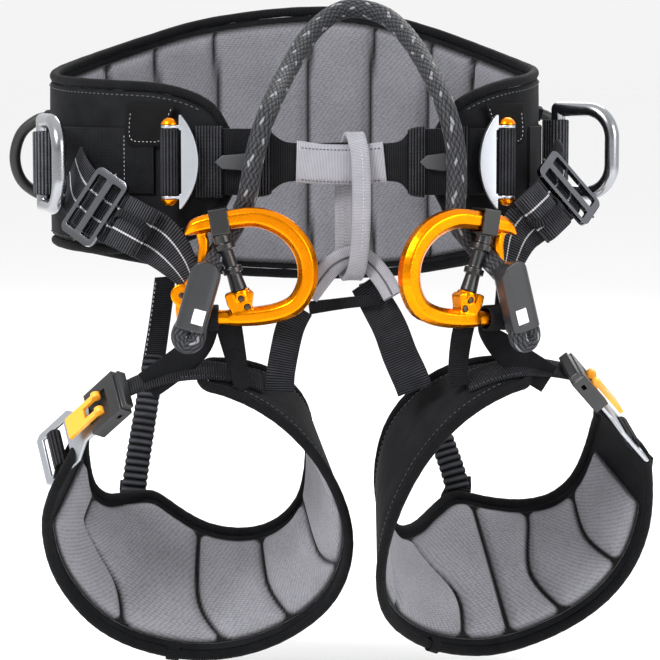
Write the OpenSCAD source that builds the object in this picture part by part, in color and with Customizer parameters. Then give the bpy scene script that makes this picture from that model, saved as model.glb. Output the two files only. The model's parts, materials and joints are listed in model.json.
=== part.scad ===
/* [Waist belt] */
// Width of the load-bearing waist webbing
webbing_w = 44; // [40:1:46]
// Thickness of every flat webbing
webbing_t = 2; // [1.5:0.1:2.2]
// Thickness of the belt's outer shell
shell_t = 4.3; // [3.5:0.1:5]
// Thickness of the belt's inner foam
foam_t = 8.5; // [6:0.5:10]
// Radius of the bound edges
bead_r = 3.4; // [2.5:0.1:3.6]

/* [Leg loops] */
// Half width of a leg loop, side to side
leg_rx = 86; // [82:1:88]
// Half height of a leg loop, in its own plane
leg_ru = 90; // [86:1:92]
// How far the thighs slope down towards the front
leg_tilt = 38; // [30:0.5:42]
// Sideways place of the left leg loop's centre
left_leg_x = -98; // [-102:1:-96]
// Sideways place of the right leg loop's centre
right_leg_x = 108; // [106:1:112]

/* [Bridge] */
// Diameter of the bridge rope
rope_d = 13; // [11:0.5:13]
// Place of the line that the rings and leg loops swing about, front to back
pivot_y = -136; // [-138:1:-134]
// Height of that line
pivot_z = -101; // [-103:1:-99]
// Radius of the gated ring's lower bar, which the loops go round
ring_bar_r = 5; // [4:0.25:5.5]

/* [Side rings] */
// Radius of the side rings' stock
dring_r = 5; // [4:0.25:5.5]
// Height between the centres of a side ring's two ends
dring_h = 58; // [52:1:60]
// Reach of a side ring from its straight bar to its far side, centre to centre
dring_reach = 44; // [38:1:46]

/* [Buckles] */
// Radius of the waist buckles' bar
bar_r = 3.5; // [3:0.1:3.7]
// Radius of the webbing wound on that bar
wrap_r = 6; // [5.5:0.1:6]
// Length of a quick buckle's body
fast_len = 34; // [30:1:36]
// Width of a quick buckle's frame
fast_w = 36; // [32:1:37]

/* [Hidden] */
$fn = 48;
gap = 0.3;          // clearance between neighbouring pieces
black = "#1b1b1d";
grey = "#8e8e92";
silver = "#d5d7da";
orange = "#f59a12";

// Belt's path seen from above, with the heights of its top and bottom edges: x, y, top, bottom.
belt_rows = [
    [-78, -103, 16, -18], [-86, -102, 30, -34], [-100, -99, 39, -45], [-124, -92, 45, -52],
    [-160, -73, 47, -57], [-189, -42, 49, -56], [-201, -4, 53, -55], [-191, 36, 60, -62],
    [-160, 70, 72, -72], [-108, 95, 89, -83], [-50, 106, 98, -88], [4, 108, 99, -89],
    [54, 102, 88, -85], [96, 82, 73, -76], [124, 48, 61, -66], [133, 10, 56, -58],
    [130, -30, 53, -54], [121, -62, 50, -52], [102, -86, 46, -48], [82, -98, 38, -40],
    [70, -102, 28, -30], [63, -104, 14, -16]
];
left_bar = [-115, -114];   // centre of the left waist buckle's bar, from above
right_bar = [108, -108];
left_dring_at = [-205, -52, -3];
right_dring_at = [151, -8, 4];
left_dring_turn = -70;     // direction in which each side ring points at rest
right_dring_turn = -38;

// ---- curves and skins ----
function unit(v) = v / norm(v);
function xyz(r) = [r[0], r[1], r[2]];
function catmull(a, b, c, d, t) =
    0.5 * (2 * b + (c - a) * t + (2 * a - 5 * b + 4 * c - d) * t * t + (3 * b - a - 3 * c + d) * t * t * t);
function spline(p, n) = let (m = len(p)) concat(
    [for (i = [0 : m - 2], k = [0 : n - 1])
        catmull(p[max(i - 1, 0)], p[i], p[i + 1], p[min(i + 2, m - 1)], k / n)],
    [p[m - 1]]);
function ring_spline(p, n) = let (m = len(p))
    [for (i = [0 : m - 1], k = [0 : n - 1])
        catmull(p[(i - 1 + m) % m], p[i], p[(i + 1) % m], p[(i + 2) % m], k / n)];
function along(p, i, closed) = let (m = len(p))
    closed ? unit(p[(i + 1) % m] - p[(i - 1 + m) % m]) : unit(p[min(i + 1, m - 1)] - p[max(i - 1, 0)]);
// A side direction carried along a line without twisting.
function carried(t, n) = [for (i = 0, c = unit(n - (n * t[0]) * t[0]); i < len(t);
    i = i + 1, c = i < len(t) ? unit(c - (c * t[i]) * t[i]) : c) c];

// Joins cross-sections of equal count, each clockwise about the way they run, into one closed solid.
module skin(sections, closed = false) {
    m = len(sections);
    n = len(sections[0]);
    sides = [for (i = [0 : closed ? m - 1 : m - 2], j = [0 : n - 1])
        let (k = (i + 1) % m, a = i * n + j, b = i * n + (j + 1) % n, c = k * n + (j + 1) % n, d = k * n + j)
        each [[a, b, c], [a, c, d]]];
    ends = closed ? [] : [[for (j = [n - 1 : -1 : 0]) j], [for (j = [0 : n - 1]) (m - 1) * n + j]];
    polyhedron([for (s = sections) each s], concat(sides, ends));
}

// Flat webbing: each row is a point, the direction of the webbing's width there, and that width.
module ribbon(rows, t, n = 4) {
    r = spline(rows, n);
    p = [for (q = r) xyz(q)];
    skin([for (i = [len(p) - 1 : -1 : 0])
        let (d = along(p, i, false), a = unit([r[i][3], r[i][4], r[i][5]]), up = unit(cross(d, a)),
             s = cross(up, d) * r[i][6] / 2, u = up * t / 2)
        [p[i] + s + u, p[i] - s + u, p[i] - s - u, p[i] + s - u]]);
}

// Round tube along a line of points.
module tube(p, r, side, sides = 8, closed = false) {
    t = [for (i = [0 : len(p) - 1]) along(p, i, closed)];
    s = carried(t, side);
    skin([for (i = [0 : len(p) - 1]) [for (j = [0 : sides - 1])
        let (a = -360 * j / sides) p[i] + r * (s[i] * cos(a) + cross(t[i], s[i]) * sin(a))]], closed);
}

// ---- waist belt ----
belt = spline(belt_rows, 3);
function belt_out(i) = let (m = len(belt), a = belt[min(i + 1, m - 1)] - belt[max(i - 1, 0)])
    unit([-a[1], a[0]]);
function belt_at(i, off, z) = let (n = belt_out(i)) [belt[i][0] + n[0] * off, belt[i][1] + n[1] * off, z];
belt_last = len(belt) - 1;

module waistbelt_shell() {
    color(black) skin([for (i = [belt_last : -1 : 0]) let (t = belt[i][2], b = belt[i][3], o = shell_t)
        [belt_at(i, 0.2, t), belt_at(i, 0.2, b), belt_at(i, o - 1.5, b),
         belt_at(i, o, b + 3), belt_at(i, o, t - 3), belt_at(i, o - 1.5, t)]]);
}

module waistbelt_foam() {
    color(grey) skin([for (i = [belt_last - 1 : -1 : 1])
        let (t = belt[i][2] - 4, b = belt[i][3] + 4, f = foam_t)
        [belt_at(i, -0.2, b), belt_at(i, -0.2, t), belt_at(i, -f * 0.6, t - 1),
         belt_at(i, -f, t - 9), belt_at(i, -f, b + 9), belt_at(i, -f * 0.6, b + 1)]]);
}

module waistbelt_binding() {
    lift = bead_r + gap;
    out = 1;
    top = [for (i = [1 : 2 : belt_last - 1]) belt_at(i, out, belt[i][2] + lift)];
    low = [for (i = [belt_last - 1 : -2 : 1]) belt_at(i, out, belt[i][3] - lift)];
    right_tip = [for (z = [9, -11]) belt_at(belt_last, out, z) + [-lift - 1, 0, 0]];
    left_tip = [for (z = [-12, 10]) belt_at(0, out, z) + [lift + 1, 0, 0]];
    color(black) tube(concat(top, right_tip, low, left_tip), bead_r, [0, 1, 0], 8, true);
}

module waist_webbing() {
    off = shell_t + gap;
    color(black) skin([for (i = [belt_last - 10 : -1 : 9]) let (h = webbing_w / 2)
        [belt_at(i, off, h), belt_at(i, off, -h),
         belt_at(i, off + webbing_t, -h), belt_at(i, off + webbing_t, h)]]);
}

// Webbing across the front, full width at the buckles and folded narrower through the sleeve.
front_rows = [[-107.5, -107.8, 22], [-80, -111, 22], [-52, -113, 21], [-36, -114, 13], [0, -114.5, 13],
              [34, -114, 13], [46, -113, 21], [72, -111, 22], [100.5, -105, 22]];
function front_band(grow, t0, t1, from, to) = [for (i = [to : -1 : from])
    let (p = spline(front_rows, 4), q = [p[i][0], p[i][1]], h = p[i][2] + grow,
         d = unit([p[min(i + 1, len(p) - 1)][0], p[min(i + 1, len(p) - 1)][1]]
             - [p[max(i - 1, 0)][0], p[max(i - 1, 0)][1]]), n = [d[1], -d[0]])
    [[q[0] + n[0] * t0, q[1] + n[1] * t0, h], [q[0] + n[0] * t1, q[1] + n[1] * t1, h],
     [q[0] + n[0] * t1, q[1] + n[1] * t1, -h], [q[0] + n[0] * t0, q[1] + n[1] * t0, -h]]];

module front_webbing() {
    color(black) skin(front_band(0, -1, 1, 0, 32));
}

// A band that goes right round the front webbing: outer skin less its inside.
module around_front(from, to, clear, wall) {
    difference() {
        skin(front_band(clear + wall, -1 - clear - wall, 1 + clear + wall, from, to));
        skin(front_band(clear, -1 - clear, 1 + clear, from - 1, to + 1));
    }
}

module webbing_sleeve() {
    color(grey) around_front(13, 19, 0.3, 1.2);
}

module webbing_keepers() {
    color(black) for (k = [[2, 3], [8, 9], [23, 24], [28, 29]]) around_front(k[0], k[1], 0.4, 1.1);
}

module pull_tabs() {
    color("#4a4a4d") for (m = [[-71, -116.2, 14], [60, -115.4, 10]])
        translate([m[0], m[1], 0]) rotate([90, 0, 0]) linear_extrude(1.6)
            polygon([[-m[2], 0], [-m[2] + 5, 4.5], [m[2] - 3, 6],
                     [m[2], 0], [m[2] - 3, -6], [-m[2] + 5, -4.5]]);
}

module wear_flaps() {
    outline = [[-17, 15], [20, 15], [15, 4], [12, -8], [8, -13], [-14, -13], [-18, -9], [-19, -2]];
    color("#242424") for (m = [[9, 1], [54, -1]]) let (i = m[0], n = belt_out(i), a = atan2(n[1], n[0]))
        translate(belt_at(i, shell_t + webbing_t + 1.2, 23)) rotate([0, 0, a + 90])
            rotate([90, 0, 0]) linear_extrude(1.6)
                polygon([for (q = outline) [q[0] * m[1], q[1]]]);
}

// Bars of the two waist buckles, with a rounded head at each end.
module buckle_bars() {
    color(orange) for (p = [left_bar, right_bar]) translate([p[0], p[1], 0]) {
        cylinder(r = bar_r, h = 50, center = true);
        for (s = [0, 1]) mirror([0, 0, s]) translate([0, 0, 24.6])
            intersection() {
                translate([0, 0, -1.2]) sphere(r = 6);
                cylinder(r = 6, h = 6);
            }
    }
}

module bar_wraps() {
    color(black) for (p = [left_bar, right_bar]) translate([p[0], p[1], 0]) {
        difference() {
            cylinder(r = wrap_r, h = webbing_w, center = true);
            cylinder(r = bar_r + 0.1, h = webbing_w + 2, center = true);
        }
    }
}

// One silver plate: a bowed plate on two ears that turn on the bar.
module buckle_plate(p, turn) {
    color(silver) translate([p[0], p[1], 0]) rotate([0, 0, turn]) mirror([turn > 0 ? 1 : 0, 0, 0]) {
        for (s = [0, 1]) mirror([0, 0, s]) translate([0, 0, 22.3]) difference() {
            union() {
                cylinder(r = 5.6, h = 2);
                translate([0, -3.5, 0]) cube([10, 4, 2]);
            }
            translate([0, 0, -1]) cylinder(r = bar_r + 0.1, h = 4);
        }
        translate([0, 0.5, 0]) rotate([90, 0, 0]) linear_extrude(4)
            difference() {
                intersection() {
                    translate([19.5 - 47.5, 0]) circle(r = 47.5, $fn = 96);
                    translate([6.8, -31]) square([20, 62]);
                }
                translate([0, -21]) square([8.2, 42]);
            }
    }
}

module left_buckle_plate() { buckle_plate(left_bar, -5); }
module right_buckle_plate() { buckle_plate(right_bar, 15); }

// ---- side rings ----
module dring(at, turn) {
    r = dring_r;
    h = dring_h / 2;
    c = 20;   // radius of the two rounded corners
    color(silver) translate(at) rotate([0, 0, turn]) {
        cylinder(r = r, h = dring_h, center = true);
        for (s = [0, 1]) mirror([0, 0, s]) {
            translate([0, 0, h]) sphere(r = r);
            translate([0, 0, h]) rotate([0, 90, 0]) cylinder(r = r, h = dring_reach - c);
            translate([dring_reach - c, 0, h - c]) rotate([90, 0, 0]) rotate_extrude(angle = 90)
                translate([c, 0]) circle(r = r);
        }
        translate([dring_reach, 0, 0]) cylinder(r = r, h = dring_h - 2 * c, center = true);
    }
}

module left_dring() { dring(left_dring_at, left_dring_turn); }
module right_dring() { dring(right_dring_at, right_dring_turn); }

// Webbing loops that hold the straight bars of the side rings against the belt.
module dring_anchors() {
    color("#3a3a3c") for (m = [[left_dring_at, 8.5], [right_dring_at, 11]])
        translate([m[0][0], m[0][1], m[0][2]]) difference() {
            union() {
                cylinder(r = dring_r + gap + 1.8, h = webbing_w, center = true);
                rotate([0, 0, m[0][0] < 0 ? 24 : 165]) translate([0, -2, -webbing_w / 2 + 1])
                    cube([m[1], 4, webbing_w - 2]);
            }
            cylinder(r = dring_r + gap, h = webbing_w + 2, center = true);
        }
}

// ---- gear loops ----
left_front_gear = [[-205, 8, 27], [-216, 10, 25], [-228, 13, 15], [-233, 16, -2], [-229, 20, -18],
                   [-217, 24, -28], [-203, 26, -31]];
left_rear_gear = [[-188.2, 52, 44], [-200, 54, 38], [-210, 56, 24], [-214, 60, 4], [-208, 64, -18],
                  [-192, 67, -32], [-174, 69, -36]];
right_front_gear = [[137, 34, 30], [148, 36, 26], [156, 40, 14], [158, 45, -4], [153, 50, -20],
                    [141, 55, -30], [127, 57, -34]];
right_rear_gear = [[108, 84, 44], [120, 90, 38], [129, 97, 24], [131, 103, 4], [124, 108, -18],
                   [109, 108, -32], [92, 101, -37]];

module gear_loop(p) {
    tube(spline(p, 3), 4, [0, 1, 0], 10);
}

module left_gear_loops() {
    color(black) { gear_loop(left_front_gear); gear_loop(left_rear_gear); }
}

module right_gear_loops() {
    color(black) { gear_loop(right_front_gear); gear_loop(right_rear_gear); }
}

// ---- centre: belay loop and crotch arch ----
module belay_loop() {
    p = ring_spline([[9, -119.6, 13.5], [11, -121, 2], [11.8, -123, -24], [11, -123, -52], [9, -121, -69],
        [5.5, -114, -76.5], [1.5, -107, -69], [0.5, -105, -50], [0.4, -105, -20], [2, -107.5, 2],
        [4.5, -109.2, 13.5], [7, -114.4, 18]], 4);
    w = 12.4;
    t = 3.4;
    color(grey) skin([for (i = [len(p) - 1 : -1 : 0])
        let (d = along(p, i, true), up = unit(cross(d, [1, 0, 0])), s = cross(up, d))
        [p[i] + s * w / 2 + up * t / 2, p[i] - s * w / 2 + up * t / 2,
         p[i] - s * w / 2 - up * t / 2, p[i] + s * w / 2 - up * t / 2]], true);
}

arch_rows = [[-23, -121, -88.5, -0.81, 0, 0.58, 13], [-12.5, -118, -73.9, -0.78, 0, 0.62, 14],
             [-5.6, -115, -67, -0.6, 0, 0.8, 14], [3.6, -112, -62.9, -0.2, 0, 1, 14],
             [12.7, -112, -63.8, 0.3, 0, 0.95, 14], [20.3, -115, -69.8, 0.68, 0, 0.73, 14],
             [27.2, -119, -78.6, 0.83, 0, 0.56, 14], [32.5, -123, -88, 0.88, 0, 0.48, 13.5]];
module crotch_arch() { color(grey) ribbon(arch_rows, 3); }

// Straps from the arch down to the padded ends of the leg loops.
module left_crotch_strap() {
    color(black) ribbon([[-28, -124.5, -96, 0.95, 0.1, -0.3, 17], [-35, -126, -108, 1, 0.1, -0.25, 19],
        [-39, -131, -124, 1, 0.1, -0.1, 19], [-41.5, -135, -139, 1, 0.1, 0, 19],
        [-42, -134, -150, 1, 0, 0, 19]], webbing_t);
}

module right_crotch_strap() {
    color(black) ribbon([[13, -109, -81, 0.93, 0, 0.37, 18], [22, -112.5, -94, 0.95, -0.1, 0.3, 22],
        [30.5, -122, -109, 0.97, -0.1, 0.2, 23], [37, -131, -126, 1, -0.1, 0.1, 23.5],
        [43, -136, -139, 1, -0.1, 0, 24], [47, -135, -149, 1, 0, 0, 24]], webbing_t);
}

module link_strap() {
    color(black) ribbon([[-23, -117.2, -96.5, 0, 0, 1, 9], [-8, -116.5, -94.5, 0, 0, 1, 8],
        [8, -116.5, -92.5, 0, 0, 1, 7.5], [24, -117.5, -91.5, 0.1, 0, 1, 7.5]], 1.6);
}

// ---- hip straps, from the belt's sides down to the gated rings ----
left_hip_rows = [[-183, -66, -4, 0.1, 0.2, 1, 34], [-177, -85, -20, 0.3, 0.2, 0.95, 36],
                 [-163, -99, -32, 0.35, 0.15, 0.95, 38], [-141, -108, -43, 0.35, 0.15, 0.95, 36],
                 [-122, -114, -53, 0.35, 0.1, 0.95, 34], [-108, -121, -68, 0.6, 0.1, 0.8, 24],
                 [-100, -126.5, -84, 0.95, 0.1, 0.3, 10], [-97.4, -128.3, -97, 1, 0, 0, 5.6]];
right_hip_rows = [[141, -54, -2, -0.1, 0.2, 1, 36], [150, -71, -12, -0.3, 0.2, 0.95, 36],
                  [147, -88, -21, -0.4, 0.2, 0.9, 36], [131, -102, -34, -0.4, 0.15, 0.9, 34],
                  [117, -111, -47, -0.4, 0.1, 0.9, 30], [110, -118, -66, -0.65, -0.2, 0.7, 20],
                  [104.5, -123, -84, -0.87, -0.5, 0.2, 9], [102, -125.6, -97, -0.87, -0.5, 0, 5.6]];

// Gated rings stand on the middle of their lower bars; the right one is turned away at its gate.
ring_turn = 30;
left_ring_x = -90;
right_ring_x = 99.5;
module on_left_ring() { translate([left_ring_x, pivot_y, pivot_z]) children(); }
module on_right_ring() {
    translate([right_ring_x, pivot_y, pivot_z]) rotate([0, 0, ring_turn]) mirror([1, 0, 0]) children();
}
function from_left_ring(p) = p + [left_ring_x, pivot_y, pivot_z];
function from_right_ring(p) = [right_ring_x - p[0] * cos(ring_turn) - p[1] * sin(ring_turn),
    pivot_y - p[0] * sin(ring_turn) + p[1] * cos(ring_turn), pivot_z + p[2]];

// A webbing eye round a ring's lower bar, from one place along the bar to another.
module eye(from, to) {
    translate([from, 0, 0]) rotate([0, 90, 0]) difference() {
        cylinder(r = ring_bar_r + 3.6, h = to - from);
        translate([0, 0, -1]) cylinder(r = ring_bar_r + 1.6, h = to - from + 2);
    }
}

module left_hip_strap() {
    color(black) { ribbon(left_hip_rows, webbing_t, 3); on_left_ring() eye(-10.2, -4.6); }
}
module right_hip_strap() {
    color(black) { ribbon(right_hip_rows, webbing_t, 3); on_right_ring() eye(-10.2, -4.6); }
}

// Frame for what sits on a hip strap: along the strap, across it, and out from the belt.
module on_strap(rows, i, lift) {
    p = xyz(rows[i]);
    d = unit(xyz(rows[i + 1]) - xyz(rows[i - 1]));
    a = unit([rows[i][3], rows[i][4], rows[i][5]]);
    up = unit(cross(d, a));
    o = up[1] < 0 ? up : -up;
    s = cross(o, d);
    q = p + o * lift;
    multmatrix([[d[0], s[0], o[0], q[0]], [d[1], s[1], o[1], q[1]], [d[2], s[2], o[2], q[2]], [0, 0, 0, 1]])
        children();
}

// Ladder frame with a cross-bar hole in each side rail.
module adjuster_frame() {
    color("#6c6e72") difference() {
        linear_extrude(3.4, center = true) difference() {
            offset(5) square([18, 40], center = true);
            for (x = [-6.75, 6.75]) translate([x, 0]) offset(1.5) square([5.5, 37], center = true);
        }
        rotate([90, 0, 0]) translate([0, 0, -26]) cylinder(r = 0.9, h = 52);
    }
}

module left_adjuster_frame() { on_strap(left_hip_rows, 2, 6) adjuster_frame(); }
module right_adjuster_frame() { on_strap(right_hip_rows, 2, 6) adjuster_frame(); }

module adjuster_bars() {
    color("#3a3a3c") for (r = [left_hip_rows, right_hip_rows]) on_strap(r, 2, 6)
        rotate([90, 0, 0]) cylinder(r = 0.8, h = 53, center = true);
}

// Spare webbing rolled up and held by an elastic.
module webbing_rolls() {
    color(black) for (r = [left_hip_rows, right_hip_rows]) on_strap(r, 3, 9.8)
        rotate([90, 0, 0]) linear_extrude(36, center = true) hull() {
            translate([-1, 0]) circle(r = 7.5, $fn = 20);
            translate([9, 0]) circle(r = 7.5, $fn = 20);
        }
}

module roll_keepers() {
    color("#101011") for (r = [left_hip_rows, right_hip_rows]) on_strap(r, 3, 9.8)
        rotate([90, 0, 0]) linear_extrude(5, center = true) difference() {
            hull() {
                translate([-1, 0]) circle(r = 8.4, $fn = 20);
                translate([9, 0]) circle(r = 8.4, $fn = 20);
            }
            hull() {
                translate([-1, 0]) circle(r = 7.6, $fn = 20);
                translate([9, 0]) circle(r = 7.6, $fn = 20);
            }
        }
}

// ---- gated rings and bridge rope ----
// Ring's middle line in its own plane, from the hook round to the lower bar: x, z, half width, half depth.
ring_rows = [[-13.5, 54.5, 1.2, 4], [-8, 59, 5, 6], [-1, 61.3, 6, 6.2], [6, 62.7, 6.2, 6.3],
             [17, 64.6, 6.2, 6.3], [32, 66, 6.4, 6.5], [46, 62, 6.7, 6.6], [56.5, 54.5, 6.8, 6.6],
             [63.5, 44.5, 6.8, 6.6], [66.5, 33, 6.8, 6.6], [65.5, 21, 6.7, 6.6], [59, 9.5, 6.5, 6.5], [47, 3.5, 6.3, 6.4],
             [33, 1, 6.2, 6.3], [20, 0, 5.6, 5.8], [15, 0, 5, 5]];
arm_rows = [[-3.5, 57, 3.4, 3.4], [-1.5, 49, 3.6, 3.5], [-2, 42, 3.4, 3.5], [-3, 35, 3.3, 3.5],
            [-8, 26, 3.5, 3.5], [-13, 17, 4.5, 3.6], [-15.5, 8, 4.6, 3.8], [-15, 0, 4.6, 4]];

// Forged bar with flattened edges along a line in the ring's plane.
module forged(rows, n) {
    r = spline(rows, n);
    skin([for (i = [0 : len(r) - 1])
        let (a = r[max(i - 1, 0)], b = r[min(i + 1, len(r) - 1)], d = unit([b[0] - a[0], b[1] - a[1]]),
             w = [d[1], 0, -d[0]], p = [r[i][0], 0, r[i][1]], h = r[i][2], k = r[i][3])
        [p + w * h + [0, -k * 0.45, 0], p + w * h * 0.5 + [0, -k, 0], p - w * h * 0.5 + [0, -k, 0],
         p - w * h + [0, -k * 0.45, 0], p - w * h + [0, k * 0.45, 0], p - w * h * 0.5 + [0, k, 0],
         p + w * h * 0.5 + [0, k, 0], p + w * h + [0, k * 0.45, 0]]]);
}

gate_top = [8.4, 0, 57.6];
gate_foot = [22.5, 0, 15];
gate_tilt = atan2(gate_top[0] - gate_foot[0], gate_top[2] - gate_foot[2]);
screw_places = [[23, 13], [27, 7.5], [-16, 15]];

module gated_ring() {
    color(orange) difference() {
        union() {
            forged(ring_rows, 3);
            forged(arm_rows, 3);
            translate([-15, 0, 0]) rotate([0, 90, 0]) cylinder(r = ring_bar_r, h = 31);
            translate([-16, 4, 15]) rotate([90, 0, 0]) cylinder(r = 7.2, h = 8);
            translate([0, 5.5, 0]) rotate([90, 0, 0]) linear_extrude(11)
                polygon([[12, 15], [15, 16.5], [29, 18], [31, 16], [30, 7],
                         [33, 2], [24, -1], [18, 2], [14, 8]]);
            translate(gate_foot) rotate([0, gate_tilt, 0]) translate([0, 0, -3]) cylinder(r = 6.8, h = 6);
        }
        translate(gate_foot) rotate([0, gate_tilt, 0]) cylinder(r = 3.2, h = 20);
        for (s = screw_places) translate([s[0], -4, s[1]]) rotate([90, 0, 0]) cylinder(r = 2.1, h = 10);
    }
}

module left_ring() { on_left_ring() gated_ring(); }
module right_ring() { on_right_ring() gated_ring(); }

module gate_screws() {
    module set() {
        for (s = screw_places) translate([s[0], -4.1, s[1]]) rotate([90, 0, 0])
            cylinder(r = 1.9, h = s[0] < 0 ? 1 : 1.8);
    }
    color("#5a5148") { on_left_ring() set(); on_right_ring() set(); }
}

// Black gate bar: a band round the ring's top arm and a stem with two collars, down to the ring's boss.
module gate_bar() {
    color("#1e1e20") {
        translate([8.8, 0, 63.2]) rotate([0, -10, 0]) difference() {
            cube([12.4, 16.8, 16.8], center = true);
            cube([14, 13.6, 13.6], center = true);
        }
        translate(gate_foot) rotate([0, gate_tilt, 0]) {
            translate([0, 0, 0.2]) cylinder(r = 3, h = 6);
            translate([0, 0, 3.2]) cylinder(r1 = 5.6, r2 = 4.6, h = 13);
            translate([0, 0, 15]) cylinder(r = 6.6, h = 4);
            translate([0, 0, 18.5]) cylinder(r = 4.6, h = 15);
            translate([0, 0, 31]) cylinder(r = 6.8, h = 4.5);
            translate([0, 0, 35]) cylinder(r = 5.6, h = 6.6);
        }
    }
}

module left_gate_bar() { on_left_ring() gate_bar(); }
module right_gate_bar() { on_right_ring() gate_bar(); }

// Rope stop: a hollow oblong moulding over the rope's sewn end.
stop_at = [-3.5, -17.8, 16];
stop_tilt = 15.75;
module rope_stop() {
    color("#55565a") translate(stop_at) rotate([0, stop_tilt, 0]) difference() {
        intersection() {
            translate([0, 0, -23]) linear_extrude(46) {
                for (x = [-4.5, 4.5], y = [-3, 3]) translate([x, y]) circle(r = 5.7);
                square([9, 17.4], center = true);
                square([20.4, 6], center = true);
            }
            rotate([90, 0, 0]) linear_extrude(20, center = true) {
                translate([0, 12.8]) circle(r = 10.2);
                translate([-10.2, -23]) square([20.4, 35.8]);
            }
        }
        translate([0, 0, -24]) cylinder(r = rope_d / 2 + 0.5, h = 33);
        translate([0, 0, 9]) sphere(r = rope_d / 2 + 0.5);
        translate([0, 0, 9]) rotate([-38, 0, 0]) cylinder(r = rope_d / 2 + 1.2, h = 40);
        translate([3.2, -6.7, -13]) cube([8.4, 4.2, 10.4], center = true);
    }
}

module left_rope_stop() { on_left_ring() rope_stop(); }
module right_rope_stop() { on_right_ring() rope_stop(); }

module stop_windows() {
    module plate() {
        translate(stop_at) rotate([0, stop_tilt, 0]) translate([3.2, -7.6, -13])
            cube([8, 1.2, 10], center = true);
    }
    color("#f2f2f2") { on_left_ring() plate(); on_right_ring() plate(); }
}

// Rope's folded and sewn ends below the stops.
module rope_folds() {
    module fold() {
        translate(stop_at) rotate([0, stop_tilt, 0]) translate([0, 0, -31.6]) {
            for (x = [-3.8, 3.8]) translate([x, 0, 0]) sphere(r = 7.8);
            rotate([0, 90, 0]) cylinder(r = 7.8, h = 7.6, center = true);
        }
    }
    color("#161618") { on_left_ring() fold(); on_right_ring() fold(); }
}

// Rope's middle line: near a ring in that ring's own terms, then over the top.
rope_end = [[-9.9, -17.8, -6.6], [-6.2, -17.8, 6.4], [-2.9, -17, 18], [0.5, -12, 27], [4.2, -2, 36],
            [9, 8, 45], [15, 13.8, 54], [21, 15.5, 64], [27, 11, 80]];
rope_arch = [[-60, -126.5, -4], [-56, -126, 14], [-51.5, -120.5, 28], [-46, -100, 42],
             [-38, -62, 59], [-24, -24, 83], [-9, -4, 97.5], [7, 0, 103], [29, -14, 97.5],
             [46, -48, 80], [60, -94, 54], [68, -120, 33], [73, -124.5, 12], [74, -127, -8]];
rope_line = concat([for (p = rope_end) from_left_ring(p)], rope_arch,
    [for (i = [len(rope_end) - 2 : -1 : 0]) from_right_ring(rope_end[i])]);
module bridge_rope() { color("#17171a") tube(spline(rope_line, 2), rope_d / 2, [1, 0, 0], 10); }

// ---- leg loops ----
// Round the loop from its padded inner end to its outer end: angle, back edge, front edge.
left_leg_rows = [[84, -26, -2], [68, -32, 6], [50, -38, 16], [30, -42, 30], [10, -44, 44], [-10, -36, 52],
    [-30, -20, 57], [-50, -15, 59], [-70, -18, 61], [-90, -26, 62], [-106, -36, 61], [-120, -42, 60],
    [-133, -34, 58], [-146, -21, 54], [-160, -16, 50], [-175, -20, 46], [-190, -20, 44], [-204, -16, 38]];
right_leg_rows = [[84, -26, -2], [68, -32, 5], [50, -36, 14], [30, -36, 28], [10, -32, 44], [-10, -20, 56],
    [-30, -10, 61], [-48, -10, 60], [-64, -22, 60], [-78, -38, 60], [-92, -48, 60], [-108, -40, 58],
    [-124, -29, 56], [-140, -21, 53], [-156, -20, 47], [-172, -24, 38], [-188, -26, 28], [-204, -22, 22]];
leg_cone = 0.0032;    // how much wider a loop is towards the front, each mm
left_leg_at = [left_leg_x, -80, -217];
right_leg_at = [right_leg_x, -80, -215];
right_leg_turn = 20;

// A point of the left loop at an angle, an offset along the thigh and a lift off its middle surface.
function loop_at(phi, s, lift) = let (q = 1 + leg_cone * s)
    [(leg_rx * q + lift) * cos(phi),
     -(leg_ru * q + lift) * sin(phi) * sin(leg_tilt) - s * cos(leg_tilt),
     (leg_ru * q + lift) * sin(phi) * cos(leg_tilt) - s * sin(leg_tilt)];
module on_left_leg() { translate(left_leg_at) children(); }
module on_right_leg() { translate(right_leg_at) rotate([0, 0, right_leg_turn]) mirror([1, 0, 0]) children(); }

module leg_shell(rows) {
    r = spline(rows, 3);
    color(black) skin([for (q = r) let (a = q[0], b = q[1], f = q[2])
        [loop_at(a, b, 0.2), loop_at(a, f, 0.2), loop_at(a, f, 1.8), loop_at(a, f - 4, 3.4),
         loop_at(a, b + 4, 3.4), loop_at(a, b, 1.8)]]);
}

module leg_foam(rows) {
    r = spline(rows, 3);
    color(grey) skin([for (i = [2 : len(r) - 3]) let (a = r[i][0], b = r[i][1] + 4, f = r[i][2] - 4)
        [loop_at(a, f, -0.2), loop_at(a, b, -0.2), loop_at(a, b + 1, -5),
         loop_at(a, b + 7, -8), loop_at(a, f - 7, -8), loop_at(a, f - 1, -5)]]);
}

module leg_binding(rows) {
    r = spline(rows, 2);
    m = len(r) - 1;
    k = bead_r + gap;
    front = [for (q = r) loop_at(q[0], q[2] + k, 0.8)];
    back = [for (i = [m : -1 : 0]) loop_at(r[i][0], r[i][1] - k, 0.8)];
    outer_end = [for (s = [0.8, 0.2]) loop_at(r[m][0] - 3, r[m][1] * (1 - s) + r[m][2] * s, 0.8)];
    inner_end = [for (s = [0.2, 0.8]) loop_at(r[0][0] + 3, r[0][1] * (1 - s) + r[0][2] * s, 0.8)];
    color(black) tube(concat(front, outer_end, back, inner_end), bead_r, [0, 0, 1], 8, true);
}

module left_leg_shell() { on_left_leg() leg_shell(left_leg_rows); }
module left_leg_foam() { on_left_leg() leg_foam(left_leg_rows); }
module left_leg_binding() { on_left_leg() leg_binding(left_leg_rows); }
module right_leg_shell() { on_right_leg() leg_shell(right_leg_rows); }
module right_leg_foam() { on_right_leg() leg_foam(right_leg_rows); }
module right_leg_binding() { on_right_leg() leg_binding(right_leg_rows); }

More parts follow.
